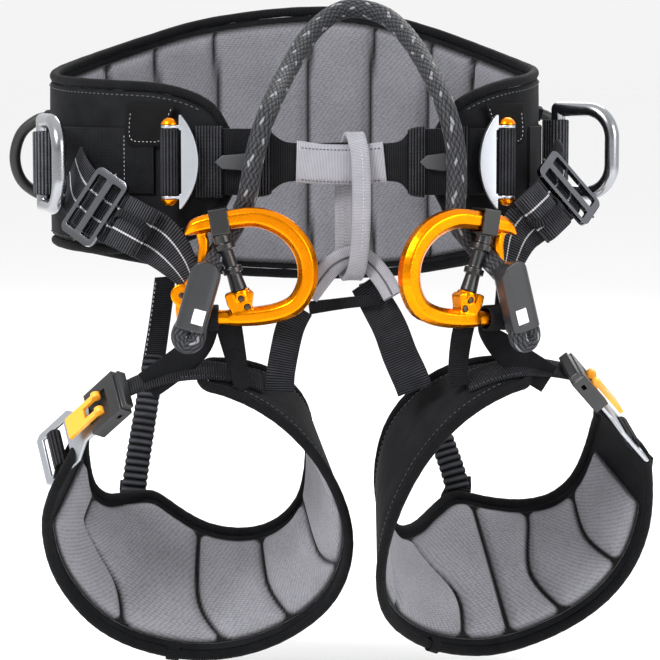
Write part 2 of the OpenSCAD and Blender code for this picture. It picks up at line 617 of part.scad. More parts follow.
// Webbing over the thigh, sewn on the padded inner end and running to the quick buckle.
module thigh_webbing(s_rows, w) {
    r = spline(s_rows, 4);
    p = [for (q = r) loop_at(q[0], q[1], q[2])];
    skin([for (i = [0 : len(r) - 1]) let (a = r[i][0], b = r[i][1], h = w / 2, l = r[i][2])
        [loop_at(a, b - h, l), loop_at(a, b + h, l),
         loop_at(a, b + h, l + webbing_t), loop_at(a, b - h, l + webbing_t)]]);
}
thigh_rows = [[122, -3, 6], [110, -8, 4.5], [96, -12, 4], [84, -14, 3.8], [72, -14, 3.8], [60, -13, 3.8]];
right_thigh_rows = [[106, -9, 5], [97, -12, 4], [84, -14, 3.8], [72, -14, 3.8], [60, -13, 3.8]];
outer_rows = [[-160, 14, 3.8], [-175, 13, 3.8], [-190, 12, 3.8], [-200, 11, 5.5]];
module left_leg_webbing() {
    color(black) on_left_leg() { thigh_webbing(thigh_rows, 24); thigh_webbing(outer_rows, 30); }
}
module right_leg_webbing() {
    color(black) on_right_leg() { thigh_webbing(right_thigh_rows, 24); thigh_webbing(outer_rows, 30); }
}

module left_riser_straps() {
    color(black) {
        ribbon([[-88.2, -128.3, -98, 1, 0, 0, 10.6], [-88.4, -127, -110, 1, 0, -0.1, 11],
            [-97, -125.5, -122, 0.85, 0.1, -0.5, 18], [-113, -128, -135, 0.8, 0.2, -0.6, 20],
            [-130, -131.5, -147, 0.8, 0.2, -0.6, 20]], webbing_t);
        ribbon([[-77, -128.4, -99, 1, 0, 0, 16], [-75.5, -128, -108, 1, 0, 0, 17],
            [-71.5, -131, -126, 1, 0.3, 0, 15], [-68, -134, -141, 1, 0.5, 0, 13],
            [-64, -134.5, -148, 1, 0.3, 0, 13]], webbing_t);
        on_left_ring() eye(-4, 8);
    }
}

module right_riser_straps() {
    color(black) {
        ribbon([[93.6, -130.5, -98, 0.87, 0.5, 0, 10], [93.6, -128.6, -110, 0.87, 0.5, 0.1, 11],
            [103, -125.5, -120, 0.85, 0.3, 0.5, 18], [117, -125, -131, 0.8, 0, 0.6, 20],
            [136, -127, -143, 0.8, -0.1, 0.6, 20]], webbing_t);
        ribbon([[84.5, -134.5, -99, 0.87, 0.5, 0, 14], [79, -133, -108, 0.95, 0.4, 0, 15],
            [76, -135, -124, 1, 0.3, 0, 14], [75, -137, -139, 1, 0.2, 0, 13],
            [76, -137.5, -146, 1, 0.2, 0, 13]], webbing_t);
        on_right_ring() eye(-4, 8);
    }
}

module left_rear_elastic() {
    color(black) ribbon([[-150, 6, -242, 1, 0, 0, 18], [-147, 12, -218, 1, 0, 0, 18],
        [-141, 27, -178, 1, 0, 0, 17], [-134, 54, -126, 1, -0.2, 0, 16], [-131, 81, -93, 1, -0.3, 0, 16]], 6);
}

module right_rear_elastic() {
    color(black) ribbon([[83, 12, -240, 1, 0, 0, 18], [77, 19, -220, 1, 0, 0, 18], [59, 46, -174, 1, 0, 0, 17],
        [34, 79, -126, 1, 0, 0, 16], [20, 101, -98, 1, 0, 0, 16]], 6);
}

// ---- quick buckles on the leg loops ----
// Each is laid out along its own strap: x towards the thigh webbing, y across, z off the leg.
module laid(p, along_strap, across) {
    x = unit(along_strap);
    z = unit(cross(x, across));
    y = cross(z, x);
    multmatrix([[x[0], y[0], z[0], p[0]], [x[1], y[1], z[1], p[1]], [x[2], y[2], z[2], p[2]], [0, 0, 0, 1]])
        children();
}
module on_left_fast() { laid([-163, -126, -166], [0.66, -0.42, 0.62], [-0.2, 0.62, 0.76]) children(); }
module on_right_fast() { laid([166, -112, -154], [-0.59, -0.44, 0.68], [0.2, -0.86, -0.39]) children(); }

// Silver frame: two windows, a bar for the leg webbing and a tongue that goes into the body.
module fast_frame() {
    color(silver) difference() {
        linear_extrude(2.4, center = true) difference() {
            polygon([[-60, -fast_w / 2], [-56, -fast_w / 2 - 3], [-26, -fast_w / 2 - 3], [-16, -12], [8, -12],
                [8, 12], [-16, 12], [-26, fast_w / 2 + 3], [-56, fast_w / 2 + 3], [-60, fast_w / 2]]);
            translate([-54, -15]) square([7, 30]);
            translate([-40.5, -15]) square([9, 30]);
        }
    }
}

module fast_wrap() {
    color(black) translate([-43.7, 0, 0]) difference() {
        linear_extrude(9, center = true) polygon([[-4.6, -14.4], [4.6, -14.4], [4.6, 14.4], [-4.6, 14.4]]);
        cube([7.2, 60, 2.9], center = true);
    }
}

module fast_body() {
    color("#3c3d40") difference() {
        union() {
            translate([-4, -16, -5]) cube([fast_len - 4, 32, 10.5]);
            translate([fast_len - 12, -14, -3.5]) cube([8, 28, 7]);
        }
        translate([-5, -12.4, -1.6]) cube([15, 24.8, 3.2]);
        translate([-5, -8.4, 2.6]) cube([21, 16.8, 4]);
        translate([16.5, -17, -1.2]) cube([4, 34, 2.4]);
    }
}

// Orange lever that is pressed to free the tongue; it turns on a cross axis in the body.
module fast_lever() {
    color(orange) difference() {
        union() {
            translate([-22, -8, 5.9]) cube([33, 16, 3]);
            translate([9, 0, 7.4]) rotate([90, 0, 0]) cylinder(r = 3.2, h = 16, center = true);
        }
        translate([-4, -4, 3]) cube([30, 8, 10]);
    }
}

module left_fast_frame() { on_left_fast() fast_frame(); }
module left_fast_wrap() { on_left_fast() fast_wrap(); }
module left_fast_body() { on_left_fast() fast_body(); }
module left_fast_lever() { on_left_fast() fast_lever(); }
module right_fast_frame() { on_right_fast() fast_frame(); }
module right_fast_wrap() { on_right_fast() fast_wrap(); }
module right_fast_body() { on_right_fast() fast_body(); }
module right_fast_lever() { on_right_fast() fast_lever(); }

waistbelt_shell();
waistbelt_foam();
waistbelt_binding();
waist_webbing();
front_webbing();
webbing_sleeve();
belay_loop();
crotch_arch();
webbing_keepers();
pull_tabs();
wear_flaps();
buckle_bars();
bar_wraps();
dring_anchors();
left_gear_loops();
right_gear_loops();
left_hip_strap();
right_hip_strap();
webbing_rolls();
roll_keepers();
link_strap();
adjuster_bars();
left_adjuster_frame();
right_adjuster_frame();
left_rear_elastic();
right_rear_elastic();
left_crotch_strap();
right_crotch_strap();
left_dring();
right_dring();
left_buckle_plate();
right_buckle_plate();
bridge_rope();
left_ring();
right_ring();
left_gate_bar();
right_gate_bar();
gate_screws();
left_rope_stop();
right_rope_stop();
stop_windows();
rope_folds();
left_leg_shell();
left_leg_foam();
left_leg_binding();
left_leg_webbing();
left_riser_straps();
left_fast_frame();
left_fast_wrap();
left_fast_body();
left_fast_lever();
right_leg_shell();
right_leg_foam();
right_leg_binding();
right_leg_webbing();
right_riser_straps();
right_fast_frame();
right_fast_wrap();
right_fast_body();
right_fast_lever();
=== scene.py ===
# %% [markdown]
# # A tree climbing saddle
# The saddle is a padded waist belt with two padded leg loops. A rope bridge joins two orange gated rings
# at the front, and webbing ties the rings to the belt and to the legs. The CAD frame holds every piece at
# its true size and place. This lesson dresses it: each soft solid is built again as fabric, webbing or
# rope, and each hard piece gets rounded edges and the finish that its maker gave it.
# Lengths are worked out in millimetres, as on a pattern, and turned to metres as a mesh is made.

# %% Frame
import bpy
import bmesh
import json
import math
import numpy as np
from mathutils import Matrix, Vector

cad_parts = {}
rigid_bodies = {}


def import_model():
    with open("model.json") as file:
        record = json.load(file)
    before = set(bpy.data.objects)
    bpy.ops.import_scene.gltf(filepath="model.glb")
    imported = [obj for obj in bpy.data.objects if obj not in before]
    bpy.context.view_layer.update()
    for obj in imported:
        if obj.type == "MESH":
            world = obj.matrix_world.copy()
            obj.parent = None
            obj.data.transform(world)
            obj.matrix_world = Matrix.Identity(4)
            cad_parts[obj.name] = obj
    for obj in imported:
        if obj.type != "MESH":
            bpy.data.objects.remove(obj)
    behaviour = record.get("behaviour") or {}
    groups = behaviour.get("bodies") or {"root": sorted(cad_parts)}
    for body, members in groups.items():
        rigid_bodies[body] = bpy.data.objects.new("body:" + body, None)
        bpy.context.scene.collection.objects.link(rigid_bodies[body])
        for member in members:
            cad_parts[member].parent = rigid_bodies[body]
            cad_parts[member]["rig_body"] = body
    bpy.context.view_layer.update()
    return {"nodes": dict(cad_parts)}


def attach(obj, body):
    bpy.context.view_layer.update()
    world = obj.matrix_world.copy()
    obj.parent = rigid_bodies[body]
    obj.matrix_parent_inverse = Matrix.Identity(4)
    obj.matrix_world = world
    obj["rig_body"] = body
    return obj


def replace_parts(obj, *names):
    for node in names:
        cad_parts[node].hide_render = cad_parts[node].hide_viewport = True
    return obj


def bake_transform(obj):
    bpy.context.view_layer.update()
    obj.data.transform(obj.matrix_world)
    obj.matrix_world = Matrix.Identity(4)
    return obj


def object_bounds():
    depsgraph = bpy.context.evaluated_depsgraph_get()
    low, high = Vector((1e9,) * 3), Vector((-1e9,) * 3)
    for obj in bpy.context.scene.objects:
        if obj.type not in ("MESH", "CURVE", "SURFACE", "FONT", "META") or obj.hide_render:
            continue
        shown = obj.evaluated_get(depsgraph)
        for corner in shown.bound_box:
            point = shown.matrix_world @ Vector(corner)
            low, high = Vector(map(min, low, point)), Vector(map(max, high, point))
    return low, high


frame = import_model()

# %% [markdown]
# ## Camera
# A long lens from the front, a little above, keeps the belt's near and far sides at about the same
# scale, as in a catalogue picture.

# %% Camera
view_height = math.radians(6)
distance, middle_x, middle_z = 1.8, -0.009, -0.1235
camera = bpy.data.objects.new("camera", bpy.data.cameras.new("camera"))
bpy.context.scene.collection.objects.link(camera)
camera.location = (middle_x, -distance * math.cos(view_height), middle_z + distance * math.sin(view_height))
camera.rotation_euler = (math.pi / 2 - view_height, 0, 0)
camera.data.lens = 138.3
camera.data.sensor_width = 36
bpy.context.scene.camera = camera

# %% [markdown]
# ## Curves
# Webbing and rope follow smooth lines through a few known places. A Catmull-Rom spline passes through
# every place, so the soft pieces lie where the frame has them. The helpers below give its points, the
# direction of travel and the length run so far.

# %% Curves
def unit(v):
    v = np.asarray(v, float)
    return v / max(np.linalg.norm(v), 1e-9)


def between(a, b, c, d, t):
    return 0.5 * (2 * b + (c - a) * t + (2 * a - 5 * b + 4 * c - d) * t * t
                  + (3 * b - a - 3 * c + d) * t ** 3)


def spline(rows, n):
    p = np.array(rows, float)
    m = len(p)
    inner = [between(p[max(i - 1, 0)], p[i], p[i + 1], p[min(i + 2, m - 1)], k / n)
             for i in range(m - 1) for k in range(n)]
    return np.array(inner + [p[-1]])


def ring_spline(rows, n):
    p = np.array(rows, float)
    m = len(p)
    return np.array([between(p[i - 1], p[i], p[(i + 1) % m], p[(i + 2) % m], k / n)
                     for i in range(m) for k in range(n)])


def travel(p, closed=False):
    if closed:
        d = np.roll(p, -1, 0) - np.roll(p, 1, 0)
    else:
        d = np.gradient(p, axis=0)
    return d / np.maximum(np.linalg.norm(d, axis=1, keepdims=True), 1e-9)


def lengths(p, closed=False):
    q = np.vstack([p, p[:1]]) if closed else p
    return np.concatenate([[0], np.cumsum(np.linalg.norm(np.diff(q, axis=0), axis=1))])


def even(p, step):
    """The same line with points the same distance apart."""
    run = lengths(p)
    at = np.linspace(0, run[-1], max(int(run[-1] / step), 2) + 1)
    return np.array([np.interp(at, run, p[:, k]) for k in range(p.shape[1])]).T


# %% [markdown]
# ## Meshes
# Most pieces here are one cross-section carried along a line, as webbing comes off a loom or rope off
# a braider. `skin` joins such cross-sections. Its UV map is in millimetres: U runs along the piece and
# V round it or across it, so a weave keeps its true pitch on every piece.

# %% Meshes
def mesh_piece(name, points, faces, finish, body, uvs=None, crease=50):
    mesh = bpy.data.meshes.new(name)
    mesh.from_pydata((np.asarray(points, float) / 1000).tolist(), [], faces)
    if uvs is not None:
        mesh.uv_layers.new(name="UVMap").data.foreach_set("uv", np.asarray(uvs, np.float32).ravel())
    work = bmesh.new()
    work.from_mesh(mesh)
    bmesh.ops.recalc_face_normals(work, faces=work.faces)
    work.to_mesh(mesh)
    work.free()
    mesh.shade_smooth()
    mesh.set_sharp_from_angle(angle=math.radians(crease))
    piece = bpy.data.objects.new(name, mesh)
    bpy.context.scene.collection.objects.link(piece)
    mesh.materials.append(finish)
    if body:
        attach(piece, body)
    return piece


def skin(name, rings, finish, body, closed=False, v_at=None, marks=None, crease=50):
    rings = np.asarray(rings, float)
    m, n = rings.shape[:2]
    u = lengths(rings.mean(1), closed)
    v = lengths(rings[m // 2], True) if v_at is None else list(v_at) + [v_at[0]]
    faces, uvs = [], []
    for i in range(m if closed else m - 1):
        k = (i + 1) % m
        for j in range(n):
            l = (j + 1) % n
            faces.append((i * n + j, i * n + l, k * n + l, k * n + j))
            uvs += [(u[i], v[j]), (u[i], v[j + 1]), (u[i + 1], v[j + 1]), (u[i + 1], v[j])]
    if not closed:
        faces += [tuple(reversed(range(n))), tuple((m - 1) * n + j for j in range(n))]
        uvs += [(u[0], v[j]) for j in reversed(range(n))] + [(u[-1], v[j]) for j in range(n)]
    piece = mesh_piece(name, rings.reshape(-1, 3), faces, finish, body, uvs, crease)
    for word, values in (marks or {}).items():
        spot = piece.data.attributes.new(word, "FLOAT", "POINT")
        spot.data.foreach_set("value", np.asarray(values, np.float32).ravel())
    return piece


# %% [markdown]
# ## Finishes: how they are written
# A finish is named for the real material and how its surface was made. Colours are given as sRGB hex,
# as on a dye card, and one function turns them to the linear values that the shader works in. One more
# function adds a node with its settings and its links.

# %% Colours and nodes
def linear(hex_colour):
    c = [int(hex_colour[i:i + 2], 16) / 255 for i in (1, 3, 5)]
    return tuple(x / 12.92 if x <= 0.04045 else ((x + 0.055) / 1.055) ** 2.4 for x in c) + (1.0,)


def add(m, kind, sockets=None, **settings):
    n = m.node_tree.nodes.new("ShaderNode" + kind)
    for word, value in settings.items():
        setattr(n, word, value)
    for place, value in (sockets or {}).items():
        if isinstance(value, bpy.types.NodeSocket):
            m.node_tree.links.new(value, n.inputs[place])
        else:
            n.inputs[place].default_value = value
    return n


def new_finish(name, colour, rough, metal=0.0, sheen=0.0, coat=0.0, ior=1.5):
    m = bpy.data.materials.new(name)
    m.use_nodes = True
    p = m.node_tree.nodes["Principled BSDF"]
    p.inputs["Base Color"].default_value = linear(colour)
    p.inputs["Roughness"].default_value = rough
    p.inputs["Metallic"].default_value = metal
    if not metal:
        p.inputs["IOR"].default_value = ior
    p.inputs["Sheen Weight"].default_value = sheen
    p.inputs["Sheen Roughness"].default_value = 0.5
    p.inputs["Coat Weight"].default_value = coat
    p.inputs["Coat Roughness"].default_value = 0.15
    return m, p


def wave(m, across, pitch, sharp="SIN", distort=0.0):
    """Ribs a pitch in millimetres apart, along U ("X") or V ("Y") of the map."""
    uv = add(m, "UVMap", uv_map="UVMap").outputs[0]
    # This node repeats every pi / 10 of a unit at scale 1.
    return add(m, "TexWave", {"Vector": uv, "Scale": math.pi / 10 / pitch, "Distortion": distort},
               wave_type="BANDS", bands_direction=across, wave_profile=sharp).outputs["Fac"]


def bump(m, p, height, depth, strength=1.0, onto=None):
    """Relief of a depth in millimetres."""
    ins = {"Height": height, "Distance": depth / 1000, "Strength": strength}
    if onto:
        ins["Normal"] = onto
    out = add(m, "Bump", ins).outputs[0]
    m.node_tree.links.new(out, p.inputs["Normal"])
    return out


def mixed(m, share, low, high):
    """Colour between two colours, by a share from 0 to 1; woven, knitted and rope finishes paint shade and
    highlight with it.
    """
    ins = {0: share, 6: linear(low) if isinstance(low, str) else low,
           7: linear(high) if isinstance(high, str) else high}
    return add(m, "Mix", ins, data_type="RGBA").outputs[2]


def maths(m, how, *values):
    return add(m, "Math", dict(enumerate(values)), operation=how).outputs[0]


def speckle(m, size, detail=3.0):
    """Soft noise of a grain in millimetres, on the piece's own coordinates."""
    here = add(m, "TexCoord").outputs["Object"]
    return add(m, "TexNoise", {"Vector": here, "Scale": 1000 / size, "Detail": detail}).outputs["Fac"]


# %% [markdown]
# ## Fabric finishes
# Webbing is woven flat: weft threads make ribs across it, and warp threads run along it. The real ribs
# are about half a millimetre apart; here they are 1.2 to 2 mm, as coarse as they need to be to show.
# Each rib is painted darker in its groove, as painted shade, and paler on its crest, as a painted
# highlight that varies at random along the strap; a little sheen gives the soft edge that fibres have.
# Long pale stripes are threads of another colour in the warp.

# %% Webbing and elastic
def woven(name, shaded_groove, crest, pitch, depth=0.35, stripe=None, stripe_at=3.6, rough=0.62, warp=1.1):
    m, p = new_finish(name, crest, rough, sheen=0.02, ior=1.17)
    weft = wave(m, "X", pitch)
    warps = wave(m, "Y", warp)
    height = maths(m, "MULTIPLY_ADD", warps, 0.35, weft)
    # Share of the crest colour: painted shade in each groove and a painted highlight on each crest, with
    # random tone
    painted_rib_light = maths(m, "MULTIPLY", weft, maths(m, "MULTIPLY_ADD", speckle(m, 9), 0.9, 0.3))
    colour = mixed(m, painted_rib_light, shaded_groove, crest)
    if stripe:
        uv = add(m, "UVMap", uv_map="UVMap").outputs[0]
        v = maths(m, "ABSOLUTE", add(m, "SeparateXYZ", {0: uv}).outputs[1])
        line = maths(m, "LESS_THAN", maths(m, "ABSOLUTE", maths(m, "SUBTRACT", v, stripe_at)), 0.35)
        # The pale stripe is real warp thread, and it is also painted darker in each groove as painted shade
        colour = mixed(m, maths(m, "MULTIPLY", line, maths(m, "MULTIPLY_ADD", weft, 0.6, 0.4)), colour,
                       stripe)
    m.node_tree.links.new(colour, p.inputs["Base Color"])
    bump(m, p, height, depth)
    return m


# Dyed polyester, plain woven: each rib across the strap has a painted highlight on its crest and painted
# shade in its groove.
black_webbing = woven("polyester_webbing_black_woven", "#010101", "#34353a", 1.6)
# A finer weave on the thin and the load-bearing straps reads smoother and darker.
fine_webbing = woven("polyester_webbing_black_fine_woven", "#030303", "#222327", 1.2, 0.2, warp=1.0)
# White warp threads give the two thin pale lines along the hip webbing.
striped_webbing = woven("polyester_webbing_striped_woven", "#030304", "#46474c", 1.7, 0.4, stripe="#c4c4c8")
# Rubber threads under a knit pull it into round ribs, with painted shade in the deep grooves between.
elastic = woven("rubber_elastic_ribbed", "#010101", "#3c3d42", 2.0, 0.7)
# The gathered elastic has its folds in the mesh; its 5 mm bands paint shade into their valleys.
gathered = woven("rubber_elastic_gathered", "#020203", "#47484d", 5.0, 0.4)
# Grey and black yarn mixed: the ring tape looks coarser and paler than the belt; its dark grooves are partly
# the black yarn and partly painted shade.
ring_tape = woven("polyester_webbing_ring_tape_woven", "#08080a", "#65666b", 2.2, 0.5)
# A tight, pale weave: nearly flat light grey, with a fine tooth that only shows close by.
grey_webbing = woven("polyester_webbing_grey_woven", "#77777d", "#a6a6ac", 1.0, 0.14, warp=0.8)
# Thin tape folded over an edge: a dark, matt outline round every panel.
binding_tape = woven("polyester_tape_binding_woven", "#020202", "#1c1d20", 1.3, 0.3, rough=0.7)
print("woven finishes:", black_webbing.name, striped_webbing.name)

# %% [markdown]
# The belt's outside is softshell: a tight, slightly brushed cloth with no clear weave, so it gets fine
# noise, faint wrinkles and sheen. The inside is knitted spacer mesh, a springy cloth of small slanted
# cells over the foam. The channels between its pads are sewn through and show the black piping below,
# so a mark on the mesh carries that dark colour there; the mark is wider than the seam, so it also
# paints the shade that falls into each channel.

# %% Cloth
def softshell(name, colour, worn):
    m, p = new_finish(name, colour, 0.72, sheen=0.02, ior=1.17)
    m.node_tree.links.new(mixed(m, speckle(m, 14, 5), colour, worn), p.inputs["Base Color"])
    grain = bump(m, p, speckle(m, 1.1, 2), 0.3)
    bump(m, p, speckle(m, 26, 2), 1.6, 0.6, grain)
    return m


def knitted(name, shaded_hollow, crest, piping):
    m, p = new_finish(name, crest, 0.85, sheen=0.1, ior=1.3)
    uv = add(m, "UVMap", uv_map="UVMap").outputs[0]
    slant = add(m, "Mapping", {"Vector": uv, "Rotation": (0, 0, 0.35),
                               "Scale": (1 / 3.2, 1 / 1.6, 1)}).outputs[0]
    cells = add(m, "TexVoronoi", {"Vector": slant, "Scale": 1.0, "Randomness": 0.25}, feature="F1").outputs[0]
    loft = maths(m, "SUBTRACT", 1.0, cells)
    # Painted highlight on the top of each knit loop and painted shade in its holes, with a random mottle
    shade = maths(m, "MULTIPLY_ADD", speckle(m, 30), 0.35, maths(m, "MULTIPLY", loft, 0.75))
    # The channel mark gives the dark piping of the seam and also painted shade in the channel
    seam_and_shade = add(m, "Attribute", attribute_name="channel").outputs["Fac"]
    colour = mixed(m, seam_and_shade, mixed(m, shade, shaded_hollow, crest), piping)
    m.node_tree.links.new(colour, p.inputs["Base Color"])
    bump(m, p, loft, 0.5)
    return m


# Brushed nylon takes the light softly, so the belt shows broad, faint wrinkles and no highlight.
shell_cloth = softshell("nylon_softshell_brushed", "#060607", "#1d1e21")
# The same cloth under a urethane coat is a little blacker and more even.
patch_cloth = softshell("polyurethane_coated_patch", "#070708", "#121214")
# Spacer mesh is painted light at the top of each loop, a painted highlight, and dark in its holes, painted
# shade.
# The belt's copy of the same mesh is darker than the leg pads' copy, as painted shade on the belt's inside.
belt_knit = knitted("polyester_spacer_mesh_knitted", "#36363b", "#85858b", "#040405")
leg_knit = knitted("polyester_spacer_mesh_brushed", "#3c3c41", "#9b9ba1", "#040405")
# Twisted polyester thread: matt, white where it should be seen and grey where it should not.
thread = new_finish("polyester_thread_white_sewn", "#b4b4b8", 0.6, sheen=0.1)[0]
dark_thread = new_finish("polyester_thread_grey_sewn", "#404145", 0.6, sheen=0.1)[0]
for m in (thread, dark_thread):
    p = m.node_tree.nodes["Principled BSDF"]
    bump(m, p, speckle(m, 0.5, 1), 0.05)

# %% [markdown]
# ## Hard finishes
# The rings are forged aluminium, anodised orange: metal under a thin dyed oxide, so the reflection
# itself is orange. Side rings are tumbled bare, and the buckle plates are bead blasted, which is duller.
# Small scratches change roughness a little along every metal. The moulded parts are nylon, with the
# fine texture of a sparked mould.

# %% Metals and plastics
def metal(name, colour, worn, rough, scratch=0.10):
    m, p = new_finish(name, colour, rough, metal=1.0)
    marks = speckle(m, 5, 6)
    m.node_tree.links.new(mixed(m, maths(m, "MULTIPLY", marks, 0.45), colour, worn), p.inputs["Base Color"])
    m.node_tree.links.new(maths(m, "MULTIPLY_ADD", marks, scratch, rough - scratch / 2),
                          p.inputs["Roughness"])
    bump(m, p, speckle(m, 0.7, 2), 0.012)
    return m


def moulded(name, colour, worn, rough, coat=0.0):
    m, p = new_finish(name, colour, rough, coat=coat, ior=1.53)
    m.node_tree.links.new(mixed(m, maths(m, "MULTIPLY", speckle(m, 7, 5), 0.6), colour, worn),
                          p.inputs["Base Color"])
    bump(m, p, speckle(m, 0.45, 1), 0.03)
    return m


# Anodised over a satin forging: the reflection itself is orange, with soft bright edges.
orange_anodised = metal("aluminium_anodised_orange_satin", "#f58a05", "#ff9f14", 0.28)
# Tumbled bare aluminium mirrors the studio a little blurred, from white to near black.
bare_aluminium = metal("aluminium_forged_tumbled", "#a4a6aa", "#86888d", 0.22)
# Bead blasting scatters the light, so the plates are an even pale silver.
plate_aluminium = metal("aluminium_bead_blasted", "#b9bcc2", "#a7aab0", 0.4)
# Polished steel is the sharpest mirror here, and takes the dark of the fabric round it.
adjuster_steel = metal("steel_polished", "#7d7f84", "#55575b", 0.12)
# Browned steel is a thin warm oxide, so the small parts are dull and dark.
screw_steel = metal("steel_browned", "#5a4f42", "#3a332b", 0.35)
# Glass-filled nylon from a sparked mould: a black, slightly waxy skin with a soft highlight.
black_nylon = moulded("nylon_black_moulded", "#09090a", "#141416", 0.34, 0.15)
# The same nylon in a lighter shade, which reads as charcoal beside the black gate bars.
grey_nylon = moulded("nylon_grey_moulded", "#1d1e21", "#292a2e", 0.36, 0.1)
dark_nylon = moulded("nylon_dark_grey_moulded", "#131416", "#1f2023", 0.34, 0.1)
# Extruded urethane tube is smooth and nearly matt: one wide, dim streak along it.
tube_plastic = moulded("polyurethane_tube_black_extruded", "#0b0b0c", "#161618", 0.5)
# The pull tabs are soft elastomer: grey and chalky.
tab_plastic = moulded("elastomer_tab_moulded", "#2c2d30", "#3a3b3f", 0.55)
# White acetal shines a little, as a clean tile does.
window_plastic = moulded("acetal_white_moulded", "#efefef", "#e2e2e2", 0.35)
# Orange nylon keeps its colour in the shade, unlike the metal rings, and shines on top.
fork_plastic = moulded("nylon_orange_moulded", "#f7a11a", "#ffb640", 0.35, 0.2)
print("hard finishes:", orange_anodised.name, grey_nylon.name)

# %% [markdown]
# ## Bridge rope
# The bridge is about 0.6 m of 13 mm kernmantle rope: a braided sheath over a core. Its sewn ends sit in
# the two stops, and it arches up between the rings. Braid is real relief here: strands run both ways
# round the rope and pass over and under each other, and a few carriers hold pale thread, which gives
# the light flecks. The line below is the same one that the frame's rope follows.

# %% The rope's line
pivot = np.array([0, -136, -101.0])
left_ring_x, right_ring_x, ring_turn = -90.0, 99.5, math.radians(30)


def on_left_ring(p):
    p = np.asarray(p, float)
    return p + pivot + [left_ring_x, 0, 0]


def on_right_ring(p):
    p = np.atleast_2d(np.asarray(p, float))
    c, s = math.cos(ring_turn), math.sin(ring_turn)
    q = np.stack([-p[:, 0] * c - p[:, 1] * s, -p[:, 0] * s + p[:, 1] * c, p[:, 2]], 1)
    return np.squeeze(q + pivot + [right_ring_x, 0, 0])


rope_end = [[-9.9, -17.8, -6.6], [-6.2, -17.8, 6.4], [-2.9, -17, 18], [0.5, -12, 27], [4.2, -2, 36],
            [9, 8, 45], [15, 13.8, 54], [21, 15.5, 64], [27, 11, 80]]
rope_arch = [[-60, -126.5, -4], [-56, -126, 14], [-51.5, -120.5, 28], [-46, -100, 42],
             [-38, -62, 59], [-24, -24, 83], [-9, -4, 97.5], [7, 0, 103], [29, -14, 97.5],
             [46, -48, 80], [60, -94, 54], [68, -120, 33], [73, -124.5, 12], [74, -127, -8]]
rope_rows = [on_left_ring(p) for p in rope_end] + rope_arch + [on_right_ring(p) for p in rope_end[:-1][::-1]]
rope_line = spline(rope_rows, 12)

# %% [markdown]
# A braiding machine sends half its bobbins each way round the core, and they pass over and under each
# other. The same is done here with two counters that run against each other round and along the rope:
# where both are even or both odd, one strand is on top. The height goes into the mesh, so the rope's
# outline is knobbly too, and the crest of each strand is kept for the finish, which paints shade into
# the gaps and a highlight on each crest.

# %% Braided rope
def braided_finish():
    m, p = new_finish("polyester_rope_sheath_braided", "#1c1c1f", 0.55, sheen=0.06, ior=1.3)
    strand = add(m, "Attribute", attribute_name="crest").outputs["Fac"]
    fleck = add(m, "Attribute", attribute_name="fleck").outputs["Fac"]
    # Painted shade in the gaps between strands and a painted highlight on each crest; the pale flecks are
    # real thread
    colour = mixed(m, maths(m, "POWER", strand, 2.0), "#010101", "#3d3e43")
    m.node_tree.links.new(mixed(m, fleck, colour, "#85868b"), p.inputs["Base Color"])
    bump(m, p, wave(m, "X", 0.9), 0.08)
    return m


def braid(name, line, radius, side, finish, body, carriers=12, lay=7.5, around=84, step=0.75):
    p = even(line, step)
    d = travel(p)
    run = lengths(p)
    a = unit(np.asarray(side, float) - np.dot(side, d[0]) * d[0])
    rings, crest, fleck = [], [], []
    turn = np.arange(around) / around
    for i in range(len(p)):
        a = unit(a - np.dot(a, d[i]) * d[i])
        b = np.cross(d[i], a)
        one = turn * carriers + run[i] / lay
        two = turn * carriers - run[i] / lay
        over = (np.floor(one) + np.floor(two)) % 2 == 0
        ridge = np.where(over, np.sin(np.pi * (one % 1)), np.sin(np.pi * (two % 1)))
        pale = np.where(over, np.floor(one) % 4 == 1, np.floor(one) % 3 == 2) & (np.floor(two) % 3 == 0)
        r = radius * (0.9 + 0.115 * np.sqrt(ridge))
        at = turn * 2 * np.pi
        rings.append(p[i] + np.outer(r * np.cos(at), a) + np.outer(r * np.sin(at), b))
        crest.append(ridge)
        # Real pale thread, made brightest at its strand's crest as a painted highlight
        fleck.append(np.where(pale & (ridge > 0.35), ridge ** 2, 0))
    return skin(name, rings, finish, body, marks={"crest": crest, "fleck": fleck}, crease=180)


rope_sheath = braided_finish()
rope = braid("bridge_rope_braid", rope_line, 6.5, (1, 0, 0), rope_sheath, "bridge")
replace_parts(rope, "bridge_rope")
print("braid has", len(rope.data.vertices), "points")

# %% [markdown]
# The rope's two ends are folded back on themselves and sewn below the stops. Each is a short U of the
# same sheath, squeezed a little where the fold is tight.

# %% Sewn rope ends
stop_at, stop_tilt = np.array([-3.5, -17.8, 16]), math.radians(15.75)


def in_stop(q):
    """A place in a stop's own terms, turned to its ring's terms."""
    x, y, z = q
    c, s = math.cos(stop_tilt), math.sin(stop_tilt)
    return stop_at + [x * c + z * s, y, -x * s + z * c]


fold = [(-4.6, 0, -22), (-5.2, 0, -26), (-4.9, 0, -29.5), (-2.6, 0, -32.2), (0, 0, -33), (2.6, 0, -32.2),
        (4.9, 0, -29.5), (5.2, 0, -26), (4.6, 0, -22)]
for side, place in (("left", on_left_ring), ("right", on_right_ring)):
    end = braid(side + "_rope_fold_braid", spline([place(in_stop(q)) for q in fold], 6), 6.1, (0, 1, 0),
                rope_sheath, "bridge")
    if side == "left":
        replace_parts(end, "rope_folds")

# %% [markdown]
# ## Belt
# The belt is one shaped band. Each row of the pattern says where it is, seen from above, and how high
# its top and bottom edges are; the same rows made the frame's belt.

